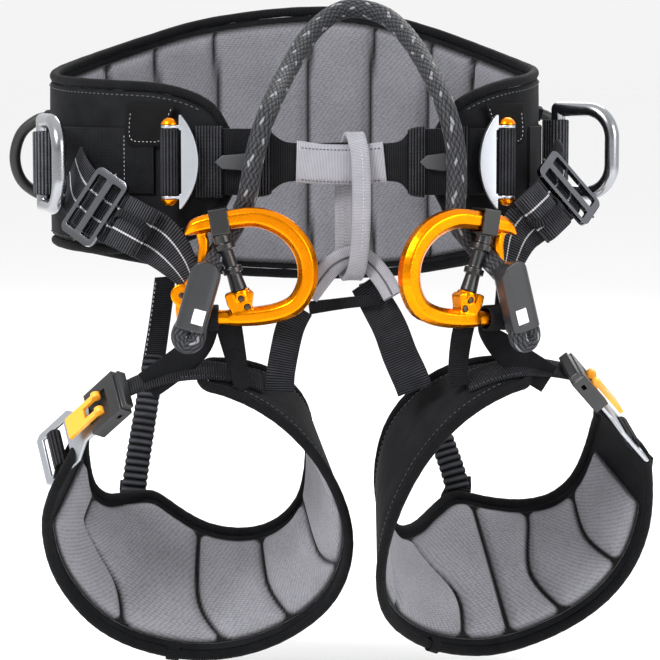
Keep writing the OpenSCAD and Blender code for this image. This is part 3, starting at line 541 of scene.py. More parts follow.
# %% Belt pattern
belt_rows = [
    [-78, -103, 16, -18], [-86, -102, 30, -34], [-100, -99, 39, -45], [-124, -92, 45, -52],
    [-160, -73, 47, -57], [-189, -42, 49, -56], [-201, -4, 53, -55], [-191, 36, 60, -62],
    [-160, 70, 72, -72], [-108, 95, 89, -83], [-50, 106, 98, -88], [4, 108, 99, -89],
    [54, 102, 88, -85], [96, 82, 73, -76], [124, 48, 61, -66], [133, 10, 56, -58],
    [130, -30, 53, -54], [121, -62, 50, -52], [102, -86, 46, -48], [82, -98, 38, -40],
    [70, -102, 28, -30], [63, -104, 14, -16]]
fine = 18
belt = spline(belt_rows, fine)
belt_way = travel(np.column_stack([belt[:, 0], belt[:, 1], np.zeros(len(belt))]))
belt_out = np.stack([-belt_way[:, 1], belt_way[:, 0], np.zeros(len(belt))], 1)
shell_t, foam_t, leg_foam_t = 4.3, 8.5, 8.0


def belt_at(i, off, z):
    """A place on the belt by row number (any fraction), offset outwards and height."""
    k = int(round(i * fine)) if i <= len(belt_rows) - 1 else len(belt) - 1
    k = min(max(k, 0), len(belt) - 1)
    return np.array([belt[k, 0], belt[k, 1], 0]) + belt_out[k] * off + [0, 0, z]


print("belt pattern", len(belt), "rows,", round(lengths(belt[:, :2])[-1]), "mm long")

# %% [markdown]
# The belt's outside is one cut of laminated cloth. It is lofted from the pattern's rows, 4.3 mm thick
# with rolled edges, and puffs in and out by a quarter of a millimetre, as cloth over foam does.

# %% Softshell outside
rings = []
for k in range(0, len(belt), 2):
    t, b, o = belt[k, 2], belt[k, 3], shell_t
    puff = 0.25 * math.sin(k * 0.21) + 0.2 * math.sin(k * 0.083 + 1)
    side = [(0.2, t), (0.2, (t + b) / 2), (0.2, b), (o - 2.6, b - 0.3), (o - 1.0, b + 0.8), (o - 0.2, b + 3)]
    side += [(o + puff * 0.5, b + (t - b) * f) for f in (0.16, 0.3, 0.45, 0.6, 0.74, 0.86)]
    side += [(o - 0.2, t - 3), (o - 1.0, t - 0.8), (o - 2.6, t + 0.3)]
    rings.append([belt_at(k / fine, off, z) for off, z in side])
shell = skin("waistbelt_softshell", rings, shell_cloth, "belt")
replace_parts(shell, "waistbelt_shell")

# %% [markdown]
# ## Pads
# The inside of the belt is foam behind knitted mesh, sewn through in channels, so each panel between two
# channels is crowned. Cloth simulation is the usual way to swell such panels. Here the crown is worked
# out instead, which is quick and keeps the narrow seams, but leaves the panels more even than real ones:
# thickness grows from a seam like 1 - exp(-distance), first fast
# and then slowly, which is how foam under a stretched knit rises from a stitch line. Each panel's corners
# are rounded, because the knit can't be pulled into a sharp one.

# %% Crowned pad
def rise(d, reach):
    return 1 - np.exp(-np.maximum(d, 0) / reach)


def pad(name, body, cloth, place, columns, rows_across, seam, edge, thick, reach=12.0, corner=7.0):
    """place(i, t, lift) gives a point; seam(i, t) and edge(i, t) are distances in mm to the nearest."""
    rings, marks = [], []
    for i in columns:
        ring, seam_and_shade = [], []
        for t in rows_across:
            d, e = seam(i, t), edge(i, t)
            inside = corner - math.hypot(max(corner - d, 0), max(corner - e, 0))
            soft = 0.1 + 0.9 * rise(inside - 1, 3) * (0.6 + 0.4 * rise(min(d, e), reach))
            ring.append(place(i, t, -0.2 - (thick - 0.2) * soft))
            # Channel mark: the seam's dark piping, widened so that it also paints the shade in the channel
            seam_and_shade.append(float(np.clip((2.4 - inside) / 1.2, 0, 1)))
        for t in rows_across[::-1]:
            ring.append(place(i, t, -0.15))
            seam_and_shade.append(0.0)
        rings.append(ring)
        marks.append(seam_and_shade)
    piece = skin(name, rings, cloth, body, marks={"channel": marks}, crease=180)
    return piece


belt_run = lengths(belt[:, :2])
belt_seams = [2.6, 3.6, 4.6, 5.6, 6.7, 7.68, 8.42, 9.22, 10.5, 11.4, 12.3, 13.05, 14.1, 15.1, 16.1, 17.1,
              18.2]
seam_runs = np.array([belt_run[int(round(s * fine))] for s in belt_seams])


def belt_place(k, t, lift):
    top, low = belt[k, 2] - 4, belt[k, 3] + 4
    return belt_at(k / fine, lift, low + (top - low) * t)


def belt_seam(k, t):
    lean = 3.5 * math.sin(math.pi * t) * (1 if belt[k, 0] > -60 else -1)
    return float(np.min(np.abs(seam_runs - belt_run[k] - lean)))


def belt_edge(k, t):
    high = belt[k, 2] - belt[k, 3] - 8
    return min(t, 1 - t) * high + 0.5


belt_pad = pad("waistbelt_pads", "belt", belt_knit, belt_place, range(6, len(belt) - 6, 1),
               np.linspace(0, 1, 42), belt_seam, belt_edge, foam_t)
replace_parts(belt_pad, "waistbelt_foam")
print("belt pads", len(belt_pad.data.vertices), "points,", len(belt_seams), "channels")

# %% [markdown]
# ## Bound edges and stitches
# A woven tape folds over every raw edge and is sewn on. It is a soft, round tube that follows the
# edge, and its thickness wavers a little along it. Stitches are real pieces of thread: each is a small
# raised bar with rounded ends, 2.6 mm long on a 4 mm pitch.

# %% Binding
def cordlike(name, line, radius, finish, body, side, closed=False, flat=1.0, around=14, wrinkle=0.0):
    d = travel(line, closed)
    a = unit(np.asarray(side, float) - np.dot(side, d[0]) * d[0])
    rings = []
    at = np.arange(around) / around * 2 * np.pi
    for i in range(len(line)):
        a = unit(a - np.dot(a, d[i]) * d[i])
        b = np.cross(d[i], a)
        r = radius * (1 + wrinkle * math.sin(i * 1.7) * math.sin(i * 0.37))
        rings.append(line[i] + np.outer(r * np.cos(at), a) + np.outer(r * flat * np.sin(at), b))
    return skin(name, rings, finish, body, closed=closed, crease=180)


def stitches(name, body, line, out, yarn=None, long=2.6, pitch=4.0, wide=0.8, lift=0.35):
    """Sewn thread along a line of points, raised off the cloth in the out direction at each."""
    yarn = yarn or thread
    run = lengths(line)
    points, faces = [], []
    for s in np.arange(pitch / 2, run[-1] - pitch / 2, pitch):
        def spot(x, arr):
            return np.array([np.interp(x, run, arr[:, k]) for k in range(3)])
        p, q = spot(s - long / 2, line), spot(s + long / 2, line)
        n = unit(spot(s, out))
        w = unit(np.cross(q - p, n)) * wide / 2
        d = (q - p) * 0.22
        base = len(points)
        points += [p - n * 0.2, p + d + w - n * 0.1, q - d + w - n * 0.1, q - n * 0.2, q - d - w - n * 0.1,
                   p + d - w - n * 0.1, p + d + n * lift, q - d + n * lift]
        faces += [tuple(base + k for k in f) for f in
                  ((0, 1, 6), (0, 6, 5), (1, 2, 7, 6), (2, 3, 7), (3, 4, 7), (4, 5, 6, 7),
                   (0, 5, 4, 3, 2, 1))]
    return mesh_piece(name, points, faces, yarn, body, crease=180)


bead, gap = 3.4, 0.3
lift = bead + gap
sparse = 3
last = (len(belt_rows) - 1) * sparse
outline = [belt_at(i / sparse, 1, spline(belt_rows, sparse)[i][2] + lift) for i in range(1, last, 2)]
outline += [belt_at(last / sparse, 1, z) + [-lift - 1, 0, 0] for z in (9, -11)]
outline += [belt_at(i / sparse, 1, spline(belt_rows, sparse)[i][3] - lift) for i in range(last - 1, 0, -2)]
outline += [belt_at(0, 1, z) + [lift + 1, 0, 0] for z in (-12, 10)]
binding = cordlike("waistbelt_binding_tape", ring_spline(outline, 6), bead, binding_tape, "belt", (0, 1, 0),
                   closed=True, wrinkle=0.03)
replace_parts(binding, "waistbelt_binding")
seam_line, seam_out = [], []
for k in range(30, len(belt) - 30, 3):
    seam_line.append(belt_at(k / fine, shell_t + 0.1, belt[k, 2] - 2.6))
    seam_out.append(belt_out[k])
stitches("waistbelt_top_stitches", "belt", np.array(seam_line), np.array(seam_out), dark_thread)
low_line = [belt_at(k / fine, shell_t + 0.1, belt[k, 3] + 2.6) for k in range(30, len(belt) - 30, 3)]
stitches("waistbelt_low_stitches", "belt", np.array(low_line), np.array(seam_out), dark_thread)

# %% [markdown]
# ## Webbing
# Flat webbing is a thin strap with rounded selvedges. `strap` carries that cross-section along rows of
# place, width direction and width. U is the length along it, and V is a tenth of the half width, so a
# stripe stays at its place in the weave where a strap narrows.

# %% Straps
half_shape = [(-1, 0), (-0.985, 0.6), (-0.95, 1), (-0.6, 1), (-0.25, 1), (0, 1), (0.25, 1), (0.6, 1),
              (0.95, 1), (0.985, 0.6)]
strap_shape = half_shape + [(-a, -b) for a, b in half_shape]


def strap(name, body, rows, thick, finish, steps=8, closed=False, ripple=None, crown=0.0, slot=None):
    r = ring_spline(rows, steps) if closed else spline(rows, steps)
    if ripple:
        r = even(r, ripple[0] / 6)
    p = r[:, :3]
    d = travel(p, closed)
    run = lengths(p)
    rings = []
    for i in range(len(p)):
        up = unit(np.cross(d[i], unit(r[i, 3:6])))
        across = unit(np.cross(up, d[i]))
        w, t = r[i, 6] / 2, thick / 2
        if ripple:
            swell = abs(math.sin(math.pi * run[i] / ripple[0])) ** 0.6
            w, t = w * (1 - 0.12 * ripple[1] * (1 - swell)), t * (1 - 0.5 * ripple[1] * (1 - swell))
        rings.append([p[i] + across * a * w + up * t * (b + crown * b * (1 - a * a)) for a, b in strap_shape])
    piece = skin(name, rings, finish, body, closed=closed, v_at=[10 * a for a, b in strap_shape], crease=70)
    return piece


def level(points, width):
    """Rows for webbing that stands on edge, its width upright."""
    return [[x, y, z, 0, 0, 1, width] for x, y, z in points]


off = shell_t + gap + 1
waist = strap("waist_webbing_woven", "belt", level([belt_at(i / 2, off, 0) for i in range(6, 35)] , 44), 2,
              fine_webbing, steps=10, slot="black_webbing")
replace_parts(waist, "waist_webbing")
front_rows = [[-107.5, -107.8, 22], [-80, -111, 22], [-52, -113, 21], [-36, -114, 13], [0, -114.5, 13],
              [34, -114, 13], [46, -113, 21], [72, -111, 22], [100.5, -105, 22]]
front = strap("front_webbing_woven", "belt", [[x, y, 0, 0, 0, 1, 2 * h] for x, y, h in front_rows], 2,
              fine_webbing, steps=12, slot="black_webbing")
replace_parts(front, "front_webbing")


def front_part(a, b, grow):
    """Rows of the front webbing between two row numbers, made wider."""
    r = spline(front_rows, 12)[int(a * 12):int(b * 12) + 1]
    return [[x, y, 0, 0, 0, 1, 2 * h + grow] for x, y, h in r]


sagging = []
for x, y, z, *way, wide in front_part(3.2, 4.8, 3):
    sag = max(0, 1 - (x / 29) ** 2)
    sagging.append([x, y, z - 1.6 * sag, *way, wide * (1 - 0.08 * sag)])
sleeve = strap("webbing_sleeve_cloth", "belt", sagging, 5, grey_webbing, steps=1, crown=0.12,
               slot="grey_webbing")
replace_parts(sleeve, "webbing_sleeve")
for z in (9.6, -11.5):
    line = np.array([[q[0], q[1] - 2.85, q[2] + z] for q in sagging[1:-1]])
    stitches("sleeve_stitches_" + ("top" if z > 0 else "low"), "belt", line,
             np.tile([0, -1.0, 0], (len(line), 1)),
             dark_thread, long=1.6, pitch=2.4)
for k, (a, b) in enumerate(((0.45, 1.0), (1.8, 2.3), (5.75, 6.35), (7.0, 7.4))):
    keeper = strap("webbing_keeper_" + "abcd"[k], "belt", front_part(a, b, 3.4), 5, elastic, steps=1,
                   crown=0.06,
                   slot="ribbed_elastic")
    if k == 0:
        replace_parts(keeper, "webbing_keepers")
print("front webbing, sleeve and keepers made")

# %% [markdown]
# ## Hard pieces
# Forged and moulded pieces keep the frame's shape. A copy of the frame's mesh gets the small rounded
# edges that a die or a mould leaves, because a perfectly sharp edge catches no light. The forged rings
# go further: their parts are fused by a fine voxel remesh and smoothed, so each joint becomes a fillet.

# %% Rounded copies
def copied(node):
    source = frame["nodes"][node].data
    work = bmesh.new()
    work.from_mesh(source)
    bmesh.ops.remove_doubles(work, verts=work.verts, dist=1e-6)
    return work


def dressed(node, finish, width=0.5, segments=2, name=None):
    """The frame's piece with rounded edges."""
    work = copied(node)
    bmesh.ops.dissolve_limit(work, angle_limit=math.radians(0.5), verts=work.verts, edges=work.edges)
    sharp = [e for e in work.edges if len(e.link_faces) == 2 and e.calc_face_angle(0) > math.radians(34)]
    bmesh.ops.bevel(work, geom=sharp, offset=width / 1000, segments=segments, profile=0.6, affect="EDGES",
                    clamp_overlap=True)
    bmesh.ops.triangulate(work, faces=[f for f in work.faces if len(f.verts) > 4])
    mesh = bpy.data.meshes.new(name or node + "_rounded")
    work.to_mesh(mesh)
    work.free()
    return shown(mesh, node, finish, 40)


def shown(mesh, node, finish, crease):
    mesh.materials.clear()
    mesh.materials.append(finish)
    mesh.shade_smooth()
    mesh.set_sharp_from_angle(angle=math.radians(crease))
    piece = bpy.data.objects.new(mesh.name, mesh)
    bpy.context.scene.collection.objects.link(piece)
    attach(piece, frame["nodes"][node]["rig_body"])
    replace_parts(piece, node)
    return piece


def forged(node, finish, voxel=0.55, rounds=6):
    """The frame's piece fused and smoothed, as it leaves the die and the tumbler."""
    work = copied(node)
    mesh = bpy.data.meshes.new(node + "_forged")
    work.to_mesh(mesh)
    work.free()
    blank = bpy.data.objects.new("blank", mesh)
    bpy.context.scene.collection.objects.link(blank)
    fuse = blank.modifiers.new("fuse", "REMESH")
    fuse.mode, fuse.voxel_size = "VOXEL", voxel / 1000
    soften = blank.modifiers.new("soften", "SMOOTH")
    soften.factor, soften.iterations = 0.5, rounds
    made = bpy.data.meshes.new_from_object(blank.evaluated_get(bpy.context.evaluated_depsgraph_get()))
    bpy.data.objects.remove(blank)
    made.name = node + "_forged"
    return shown(made, node, finish, 180)


for side in ("left_", "right_"):
    forged(side + "ring", orange_anodised)
    forged(side + "gate_bar", black_nylon, 0.45, 3)
    forged(side + "rope_stop", grey_nylon, 0.45, 4)
    dressed(side + "dring", bare_aluminium, 0.3)
    dressed(side + "buckle_plate", plate_aluminium, 1.1, 3)
    dressed(side + "adjuster_frame", adjuster_steel, 1.1, 3)
    dressed(side + "fast_frame", plate_aluminium, 0.8, 2)
    dressed(side + "fast_body", dark_nylon, 1.2, 3)
    dressed(side + "fast_lever", fork_plastic, 0.9, 3)
dressed("buckle_bars", orange_anodised, 0.4)
dressed("adjuster_bars", screw_steel, 0.2)
dressed("gate_screws", screw_steel, 0.25)
dressed("stop_windows", window_plastic, 0.35)
dressed("pull_tabs", tab_plastic, 0.6)
print("hard pieces dressed")

# %% [markdown]
# ## Waist buckle details
# The load webbing turns round each buckle's bar, so its ribs stand upright there. A coated patch guards
# the buckle's top corner and is sewn round its edge. The sewn patches beside the bars show a row of
# stitches.

# %% Bar wraps and patches
left_bar, right_bar = np.array([-115, -114.0, 0]), np.array([108, -108.0, 0])
r = 6.0
for side, bar in (("left", left_bar), ("right", right_bar)):
    rings = []
    for k in range(72):
        a = -2 * math.pi * k / 72
        way = np.array([math.cos(a), math.sin(a), 0])
        rings.append([bar + way * q + [0, 0, z] for q, z in
                      ((3.7, -21.6), (3.7, 0), (3.7, 21.6), (r - 0.7, 22), (r - 0.15, 21.6), (r, 20.8),
                       (r, 10),
                       (r, 0), (r, -10), (r, -20.8), (r - 0.15, -21.6), (r - 0.7, -22))])
    wrap = skin(side + "_bar_wrap_webbing", rings, elastic, "belt", closed=True, crease=60)
    if side == "left":
        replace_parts(wrap, "bar_wraps")


def patch(name, k, hand):
    """A coated patch over the belt, its lower corners rounded, with stitches inside its edge."""
    outline = [(-17, 15), (20, 15), (15, 4), (12.4, -6), (10.6, -11), (7, -13), (-4, -13), (-14, -12.8),
               (-17.4, -10.4),
               (-18.6, -6), (-18.4, 2)]
    outline = [((x - 2.5) * hand, z) for x, z in outline]
    middle = belt_at(k, shell_t + 3.2, 23)
    out = belt_out[int(k * fine)]
    way = np.array([-out[1], out[0], 0])

    def at(x, z, up):
        return middle + way * x + [0, 0, z] + out * (up + 0.5 * math.sin(x * 0.16 + z * 0.1))
    layers = []
    for shrink, up in ((0.0, -0.6), (0.96, -0.6), (1.0, -0.1), (1.0, 0.4), (0.96, 0.85), (0.75, 0.95),
                       (0.0, 0.95)):
        layers.append([at(x * shrink, 1 + (z - 1) * shrink, up) for x, z in outline])
    piece = skin(name, layers, patch_cloth, "belt", crease=60)
    sewn = [(x * 0.82, 1 + (z - 1) * 0.8) for x, z in outline[1:] + outline[:1]]
    line = even(np.array([at(x, z, 0.92) for x, z in sewn]), 1)
    stitches(name + "_stitches", "belt", line, np.tile(out, (len(line), 1)), long=1.9, pitch=2.9, wide=0.55)
    return piece


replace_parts(patch("left_wear_patch", 3, 1), "wear_flaps")
patch("right_wear_patch", 18, -1)
for side, rows in (("left", (3.55, 5.3)), ("right", (17.6, 18.9))):
    for k, i in enumerate(rows):
        line = np.array([belt_at(i, shell_t + 2.5, z) for z in range(-19, 20)])
        out = belt_out[int(i * fine)]
        stitches(f"{side}_waist_bar_stitches_{k}", "belt", line, np.tile(out, (len(line), 1)), long=1.8,
                 pitch=2.8,
                 wide=0.6)

# %% [markdown]
# ## Side ring loops and gear loops
# A loop of coarse grey and black tape holds each side ring's straight bar. The gear loops are moulded
# tubes pushed over cord: nearly matt and smooth.

# %% Side ring loops
left_dring_at, right_dring_at = np.array([-205, -52, -3.0]), np.array([151, -8, 4.0])
for side, at, turn in (("left", left_dring_at, 24), ("right", right_dring_at, 165)):
    way = np.array([math.cos(math.radians(turn)), math.sin(math.radians(turn)), 0])
    cross = np.array([-way[1], way[0], 0])
    reach = 8.3 if side == "left" else 10.6
    path = [at + way * reach + cross * 1.6]
    for k in range(13):
        a = math.radians(62 + k * (236 / 12))
        path.append(at + 6.5 * (math.cos(a) * way + math.sin(a) * cross))
    path.append(at + way * reach - cross * 1.6)
    loop = strap(side + "_ring_loop_tape", "belt", level([q[:2].tolist() + [at[2]] for q in path], 43), 1.7,
                 ring_tape, steps=5, slot="ring_tape")
    if side == "left":
        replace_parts(loop, "dring_anchors")

# %% [markdown]
# Each gear loop is a cord in a plastic tube, bent into a bow and sewn to the belt at both ends. A round
# section swept along a spline is exactly that; a short webbing tab covers each sewn end.

# %% Gear loops
gear_rows = {
    "left_front": [[-205, 8, 27], [-216, 10, 25], [-228, 13, 15], [-233, 16, -2], [-229, 20, -18],
                   [-217, 24, -28],
                   [-203, 26, -31]],
    "left_rear": [[-188.2, 52, 44], [-200, 54, 38], [-210, 56, 24], [-214, 60, 4], [-208, 64, -18],
                  [-192, 67, -32], [-174, 69, -36]],
    "right_front": [[137, 34, 30], [148, 36, 26], [156, 40, 14], [158, 45, -4], [153, 50, -20],
                    [141, 55, -30],
                    [127, 57, -34]],
    "right_rear": [[108, 84, 44], [120, 90, 38], [129, 97, 24], [131, 103, 4], [124, 108, -18],
                   [109, 108, -32],
                   [92, 101, -37]]}
for name, rows in gear_rows.items():
    loop = cordlike(name + "_gear_loop_tube", spline(rows, 12), 3.95, tube_plastic, "belt", (0, 1, 0),
                    around=20)
    if name.endswith("front"):
        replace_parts(loop, name.split("_")[0] + "_gear_loops")
    for k, end in enumerate((0, -1)):
        q = spline(rows, 12)[[end, 6 if end == 0 else -7]]
        tab_rows = [[*(q[0] + (q[1] - q[0]) * f), 0, 1, 0.2, 11] for f in (-0.1, 0.3, 0.7, 1.0)]
        strap(f"{name}_gear_tab_{k}", "belt", tab_rows, 8.6, fine_webbing, steps=4, crown=0.1,
              slot="black_webbing")
print("gear loops:", ", ".join(gear_rows))

# %% [markdown]
# ## Hip straps
# A striped strap leaves the belt behind each side ring, passes the adjuster, and narrows into the slot
# of the gated ring. Its spare end is rolled up and held by an elastic. The roll is a real spiral of
# webbing, so its layers show at both ends.

# %% Hip straps and eyes
roll_height = 9.8
left_hip_rows = [[-183, -66, -4, 0.1, 0.2, 1, 34], [-177, -85, -20, 0.3, 0.2, 0.95, 36],
                 [-163, -99, -32, 0.35, 0.15, 0.95, 38], [-141, -108, -43, 0.35, 0.15, 0.95, 36],
                 [-122, -114, -53, 0.35, 0.1, 0.95, 34], [-108, -121, -68, 0.6, 0.1, 0.8, 24],
                 [-100, -126.5, -84, 0.95, 0.1, 0.3, 10], [-97.4, -128.3, -97, 1, 0, 0, 5.6]]
right_hip_rows = [[141, -54, -2, -0.1, 0.2, 1, 36], [150, -71, -12, -0.3, 0.2, 0.95, 36],
                  [147, -88, -21, -0.4, 0.2, 0.9, 36], [131, -102, -34, -0.4, 0.15, 0.9, 34],
                  [117, -111, -47, -0.4, 0.1, 0.9, 30], [110, -118, -66, -0.65, -0.2, 0.7, 20],
                  [104.5, -123, -84, -0.87, -0.5, 0.2, 9], [102, -125.6, -97, -0.87, -0.5, 0, 5.6]]


eye_radius = 7.6


def eye(name, place, start, end, body, finish):
    """Webbing turned round a ring's lower bar."""
    mid, wide = (start + end) / 2, end - start
    rows = []
    for k in range(16):
        a = 2 * math.pi * k / 16
        q = place([mid, eye_radius * math.cos(a), eye_radius * math.sin(a)])
        w = place([mid + 1, eye_radius * math.cos(a), eye_radius * math.sin(a)]) - q
        rows.append([*q, *w, wide])
    return strap(name, body, rows, 1.9, finish, steps=4, closed=True, slot="black_webbing")


def strap_frame(rows, i, height):
    """Place and directions along, across and out of a strap at one of its rows."""
    p = np.array(rows[i][:3], float)
    d = unit(np.array(rows[i + 1][:3], float) - np.array(rows[i - 1][:3], float))
    up = unit(np.cross(d, unit(rows[i][3:6])))
    o = up if up[1] < 0 else -up
    return p + o * height, d, np.cross(o, d), o


for side, rows, place in (("left", left_hip_rows, on_left_ring), ("right", right_hip_rows, on_right_ring)):
    hip = strap(side + "_hip_strap_webbing", None, rows, 2, striped_webbing, steps=14, slot="black_webbing")
    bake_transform(hip)
    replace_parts(hip, side + "_hip_strap")
    eye(side + "_hip_strap_eye", place, -10.4, -5.2, "bridge", striped_webbing)
    q, d, s, o = strap_frame(rows, 3, roll_height)
    coil = []
    for k in range(61):
        a = 2 * math.pi * k / 20
        r = 1.2 + 5.3 * (k / 60)
        x = 4 + r * math.cos(a) + 5.0 * np.tanh(3 * math.cos(a)) * min(1, 0.3 + k / 45)
        coil.append([*(q + d * x + o * r * math.sin(a)), *s, 35])
    roll = strap(side + "_webbing_roll", "belt", coil, 1.5, striped_webbing, steps=3, slot="black_webbing")
    if side == "left":
        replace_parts(roll, "webbing_rolls")
    band = []
    for a in np.arange(20) / 20 * 2 * math.pi:
        c = math.cos(a)
        x = 4 + math.copysign(5.0, c) * min(1, abs(c) * 4) + 8.2 * c
        band.append([*(q + d * x + o * 8.2 * math.sin(a) + s * 5 * math.sin(a)), *s, 5])
    keeper = strap(side + "_roll_elastic", "belt", band, 1.0, elastic, steps=3, closed=True,
                   slot="ribbed_elastic")
    if side == "left":
        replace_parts(keeper, "roll_keepers")
print("hip straps made")

# %% [markdown]
# ## Risers, crotch straps and elastics
# Two risers hang from each ring to its leg loop, and a crotch strap runs from the grey arch to the
# padded inner end. They bend as the legs swing; here each is made in its place and is tied to no body.
# The rear elastics are gathered: their cloth bunches into ribs 5 mm apart.

# %% Lower straps
def joined_strap(name, node, rows, thick, finish, a, b, start, end, slot, steps=10, **more):
    piece = strap(name, None, rows, thick, finish, steps=steps, slot=slot, **more)
    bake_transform(piece)
    if node:
        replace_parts(piece, node)
    return piece


riser_rows = {
    "left": ([[-88.2, -128.3, -98, 1, 0, 0, 10.6], [-88.4, -127, -110, 1, 0, -0.1, 11],
              [-97, -125.5, -122, 0.85, 0.1, -0.5, 18], [-113, -128, -135, 0.8, 0.2, -0.6, 20],
              [-130, -131.5, -147, 0.8, 0.2, -0.6, 20]],
             [[-77, -128.4, -99, 1, 0, 0, 16], [-75.5, -128, -108, 1, 0, 0, 17],
              [-71.5, -131, -126, 1, 0.3, 0, 15], [-68, -134, -141, 1, 0.5, 0, 13],
              [-64, -134.5, -148, 1, 0.3, 0, 13]]),
    "right": ([[93.6, -130.5, -98, 0.87, 0.5, 0, 10], [93.6, -128.6, -110, 0.87, 0.5, 0.1, 11],
               [103, -125.5, -120, 0.85, 0.3, 0.5, 18], [117, -125, -131, 0.8, 0, 0.6, 20],
               [136, -127, -143, 0.8, -0.1, 0.6, 20]],
              [[84.5, -134.5, -99, 0.87, 0.5, 0, 14], [79, -133, -108, 0.95, 0.4, 0, 15],
               [76, -135, -124, 1, 0.3, 0, 14], [75, -137, -139, 1, 0.2, 0, 13],
               [76, -137.5, -146, 1, 0.2, 0, 13]])}
crotch_rows = {
    "left": [[-28, -124.5, -96, 0.95, 0.1, -0.3, 17], [-35, -126, -108, 1, 0.1, -0.25, 19],
             [-39, -131, -124, 1, 0.1, -0.1, 19], [-41.5, -135, -139, 1, 0.1, 0, 19],
             [-42, -134, -150, 1, 0, 0, 19]],
    "right": [[13, -109, -81, 0.93, 0, 0.37, 18], [22, -112.5, -94, 0.95, -0.1, 0.3, 22],
              [30.5, -122, -109, 0.97, -0.1, 0.2, 23], [37, -131, -126, 1, -0.1, 0.1, 23.5],
              [43, -136, -139, 1, -0.1, 0, 24], [47, -135, -149, 1, 0, 0, 24]]}
elastic_rows = {
    "left": [[-150, 6, -242, 1, 0, 0, 18], [-147, 12, -218, 1, 0, 0, 18], [-141, 27, -178, 1, 0, 0, 17],
             [-134, 54, -126, 1, -0.2, 0, 16], [-131, 81, -93, 1, -0.3, 0, 16]],
    "right": [[83, 12, -240, 1, 0, 0, 18], [77, 19, -220, 1, 0, 0, 18], [59, 46, -174, 1, 0, 0, 17],
              [34, 79, -126, 1, 0, 0, 16], [20, 101, -98, 1, 0, 0, 16]]}
for side in ("left", "right"):
    leg = side + "_leg"
    for k, rows in enumerate(riser_rows[side]):
        joined_strap(f"{side}_riser_{k}_webbing", side + "_riser_straps" if k == 0 else None, rows, 2,
                     fine_webbing,
                     "belt", leg, rows[0][:3], rows[2][:3], "black_webbing")
    eye(side + "_riser_eye", on_left_ring if side == "left" else on_right_ring, -2.4, 8, leg, fine_webbing)
    rows = crotch_rows[side]
    joined_strap(side + "_crotch_strap_webbing", side + "_crotch_strap", rows, 2, black_webbing, "belt", leg,
                 rows[0][:3], rows[-2][:3], "black_webbing")
    rows = elastic_rows[side]
    upper, lower = rows[4][:3], rows[1][:3]
    run = spline(rows, 14)
    joined_strap(side + "_rear_elastic_gathered", side + "_rear_elastic", run[:37], 5, gathered, "belt", leg,
                 upper, lower, "ribbed_elastic", steps=1, ripple=(5.0, 1.0), crown=0.7)
    joined_strap(side + "_rear_webbing", None, run[34:], 2.4, black_webbing, "belt", leg, upper, lower,
                 "black_webbing", steps=1)
    sewn = stitches(side + "_rear_stitches", None, run[36:, :3] + [-6.6, -1.4, 0],
                    np.tile([0, -1.0, 0], (len(run) - 36, 1)))
    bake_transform(sewn)
tie = strap("link_strap_webbing", "belt", [[-23, -117.2, -96.5, 0, 0, 1, 9], [-8, -116.5, -94.5, 0, 0, 1, 8],
            [8, -116.5, -92.5, 0, 0, 1, 7.5], [24, -117.5, -91.5, 0.1, 0, 1, 7.5]], 1.6, fine_webbing,
            slot="black_webbing")
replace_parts(tie, "link_strap")

# %% [markdown]
# ## Centre
# The belay loop is a stiff ring of grey webbing, sewn through with white thread down its middle. The
# arch below it is two layers of grey webbing over a dark piping, and carries both crotch straps.

# %% Belay loop and arch
belay_line = [[9, -119.6, 13.5], [11, -121, 2], [11.8, -123, -24], [11, -123, -52], [9, -121, -69],
              [5.5, -114, -76.5],
              [1.5, -107, -69], [0.5, -105, -50], [0.4, -105, -20], [2, -107.5, 2], [4.5, -109.2, 13.5],
              [7, -114.4, 18]]
belay = strap("belay_loop_webbing", "belt", [[*q, 1, 0, 0, 12.4] for q in belay_line], 3.2, grey_webbing,
              steps=12,
              closed=True, crown=0.15, slot="grey_webbing")
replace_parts(belay, "belay_loop")
face = spline(belay_line[:5], 12)[4:]
face_way = travel(face)
face_out = np.array([unit(np.cross([1, 0, 0], w)) for w in face_way])
if face_out[20][1] > 0:
    face_out = -face_out
line = face + face_out * 1.85 + [1.2, 0, 0]
stitches("belay_front_stitches", "belt", line, face_out, thread, 1.8, 2.6, 0.7)
back = even(spline(belay_line[6:10], 12) + [0, -1.85, 0], 1.1)
zig = back + np.array([[1.7 if k % 2 else -1.7, 0, 0] for k in range(len(back))])
cordlike("belay_zigzag_stitch", zig, 0.38, thread, "belt", (1, 0, 0), around=6)
arch_rows = [[-23, -121, -88.5, -0.81, 0, 0.58, 13], [-12.5, -118, -73.9, -0.78, 0, 0.62, 14],
             [-5.6, -115, -67, -0.6, 0, 0.8, 14], [3.6, -112, -62.9, -0.2, 0, 1, 14],
             [12.7, -112, -63.8, 0.3, 0, 0.95, 14],
             [20.3, -115, -69.8, 0.68, 0, 0.73, 14], [27.2, -119, -78.6, 0.83, 0, 0.56, 14],
             [32.5, -123, -88, 0.88, 0, 0.48, 13.5]]
arch = strap("crotch_arch_webbing", "belt", arch_rows, 3, grey_webbing, steps=12, crown=0.5,
             slot="grey_webbing")
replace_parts(arch, "crotch_arch")
piping = spline(arch_rows, 12)[2:-2, :3] + [0, -2.3, 0]
cordlike("crotch_arch_piping", piping, 0.7, dark_thread, "belt", (1, 0, 0), around=8)

# %% [markdown]
# ## Leg loops
# Each leg loop is a wide band bent round the thigh, softshell outside and crowned knit pads inside, with
# the same bound edge as the belt. A place on it is an angle round the thigh, an offset along the thigh
# and a lift off the band's middle surface. The right loop is the same band mirrored and turned.

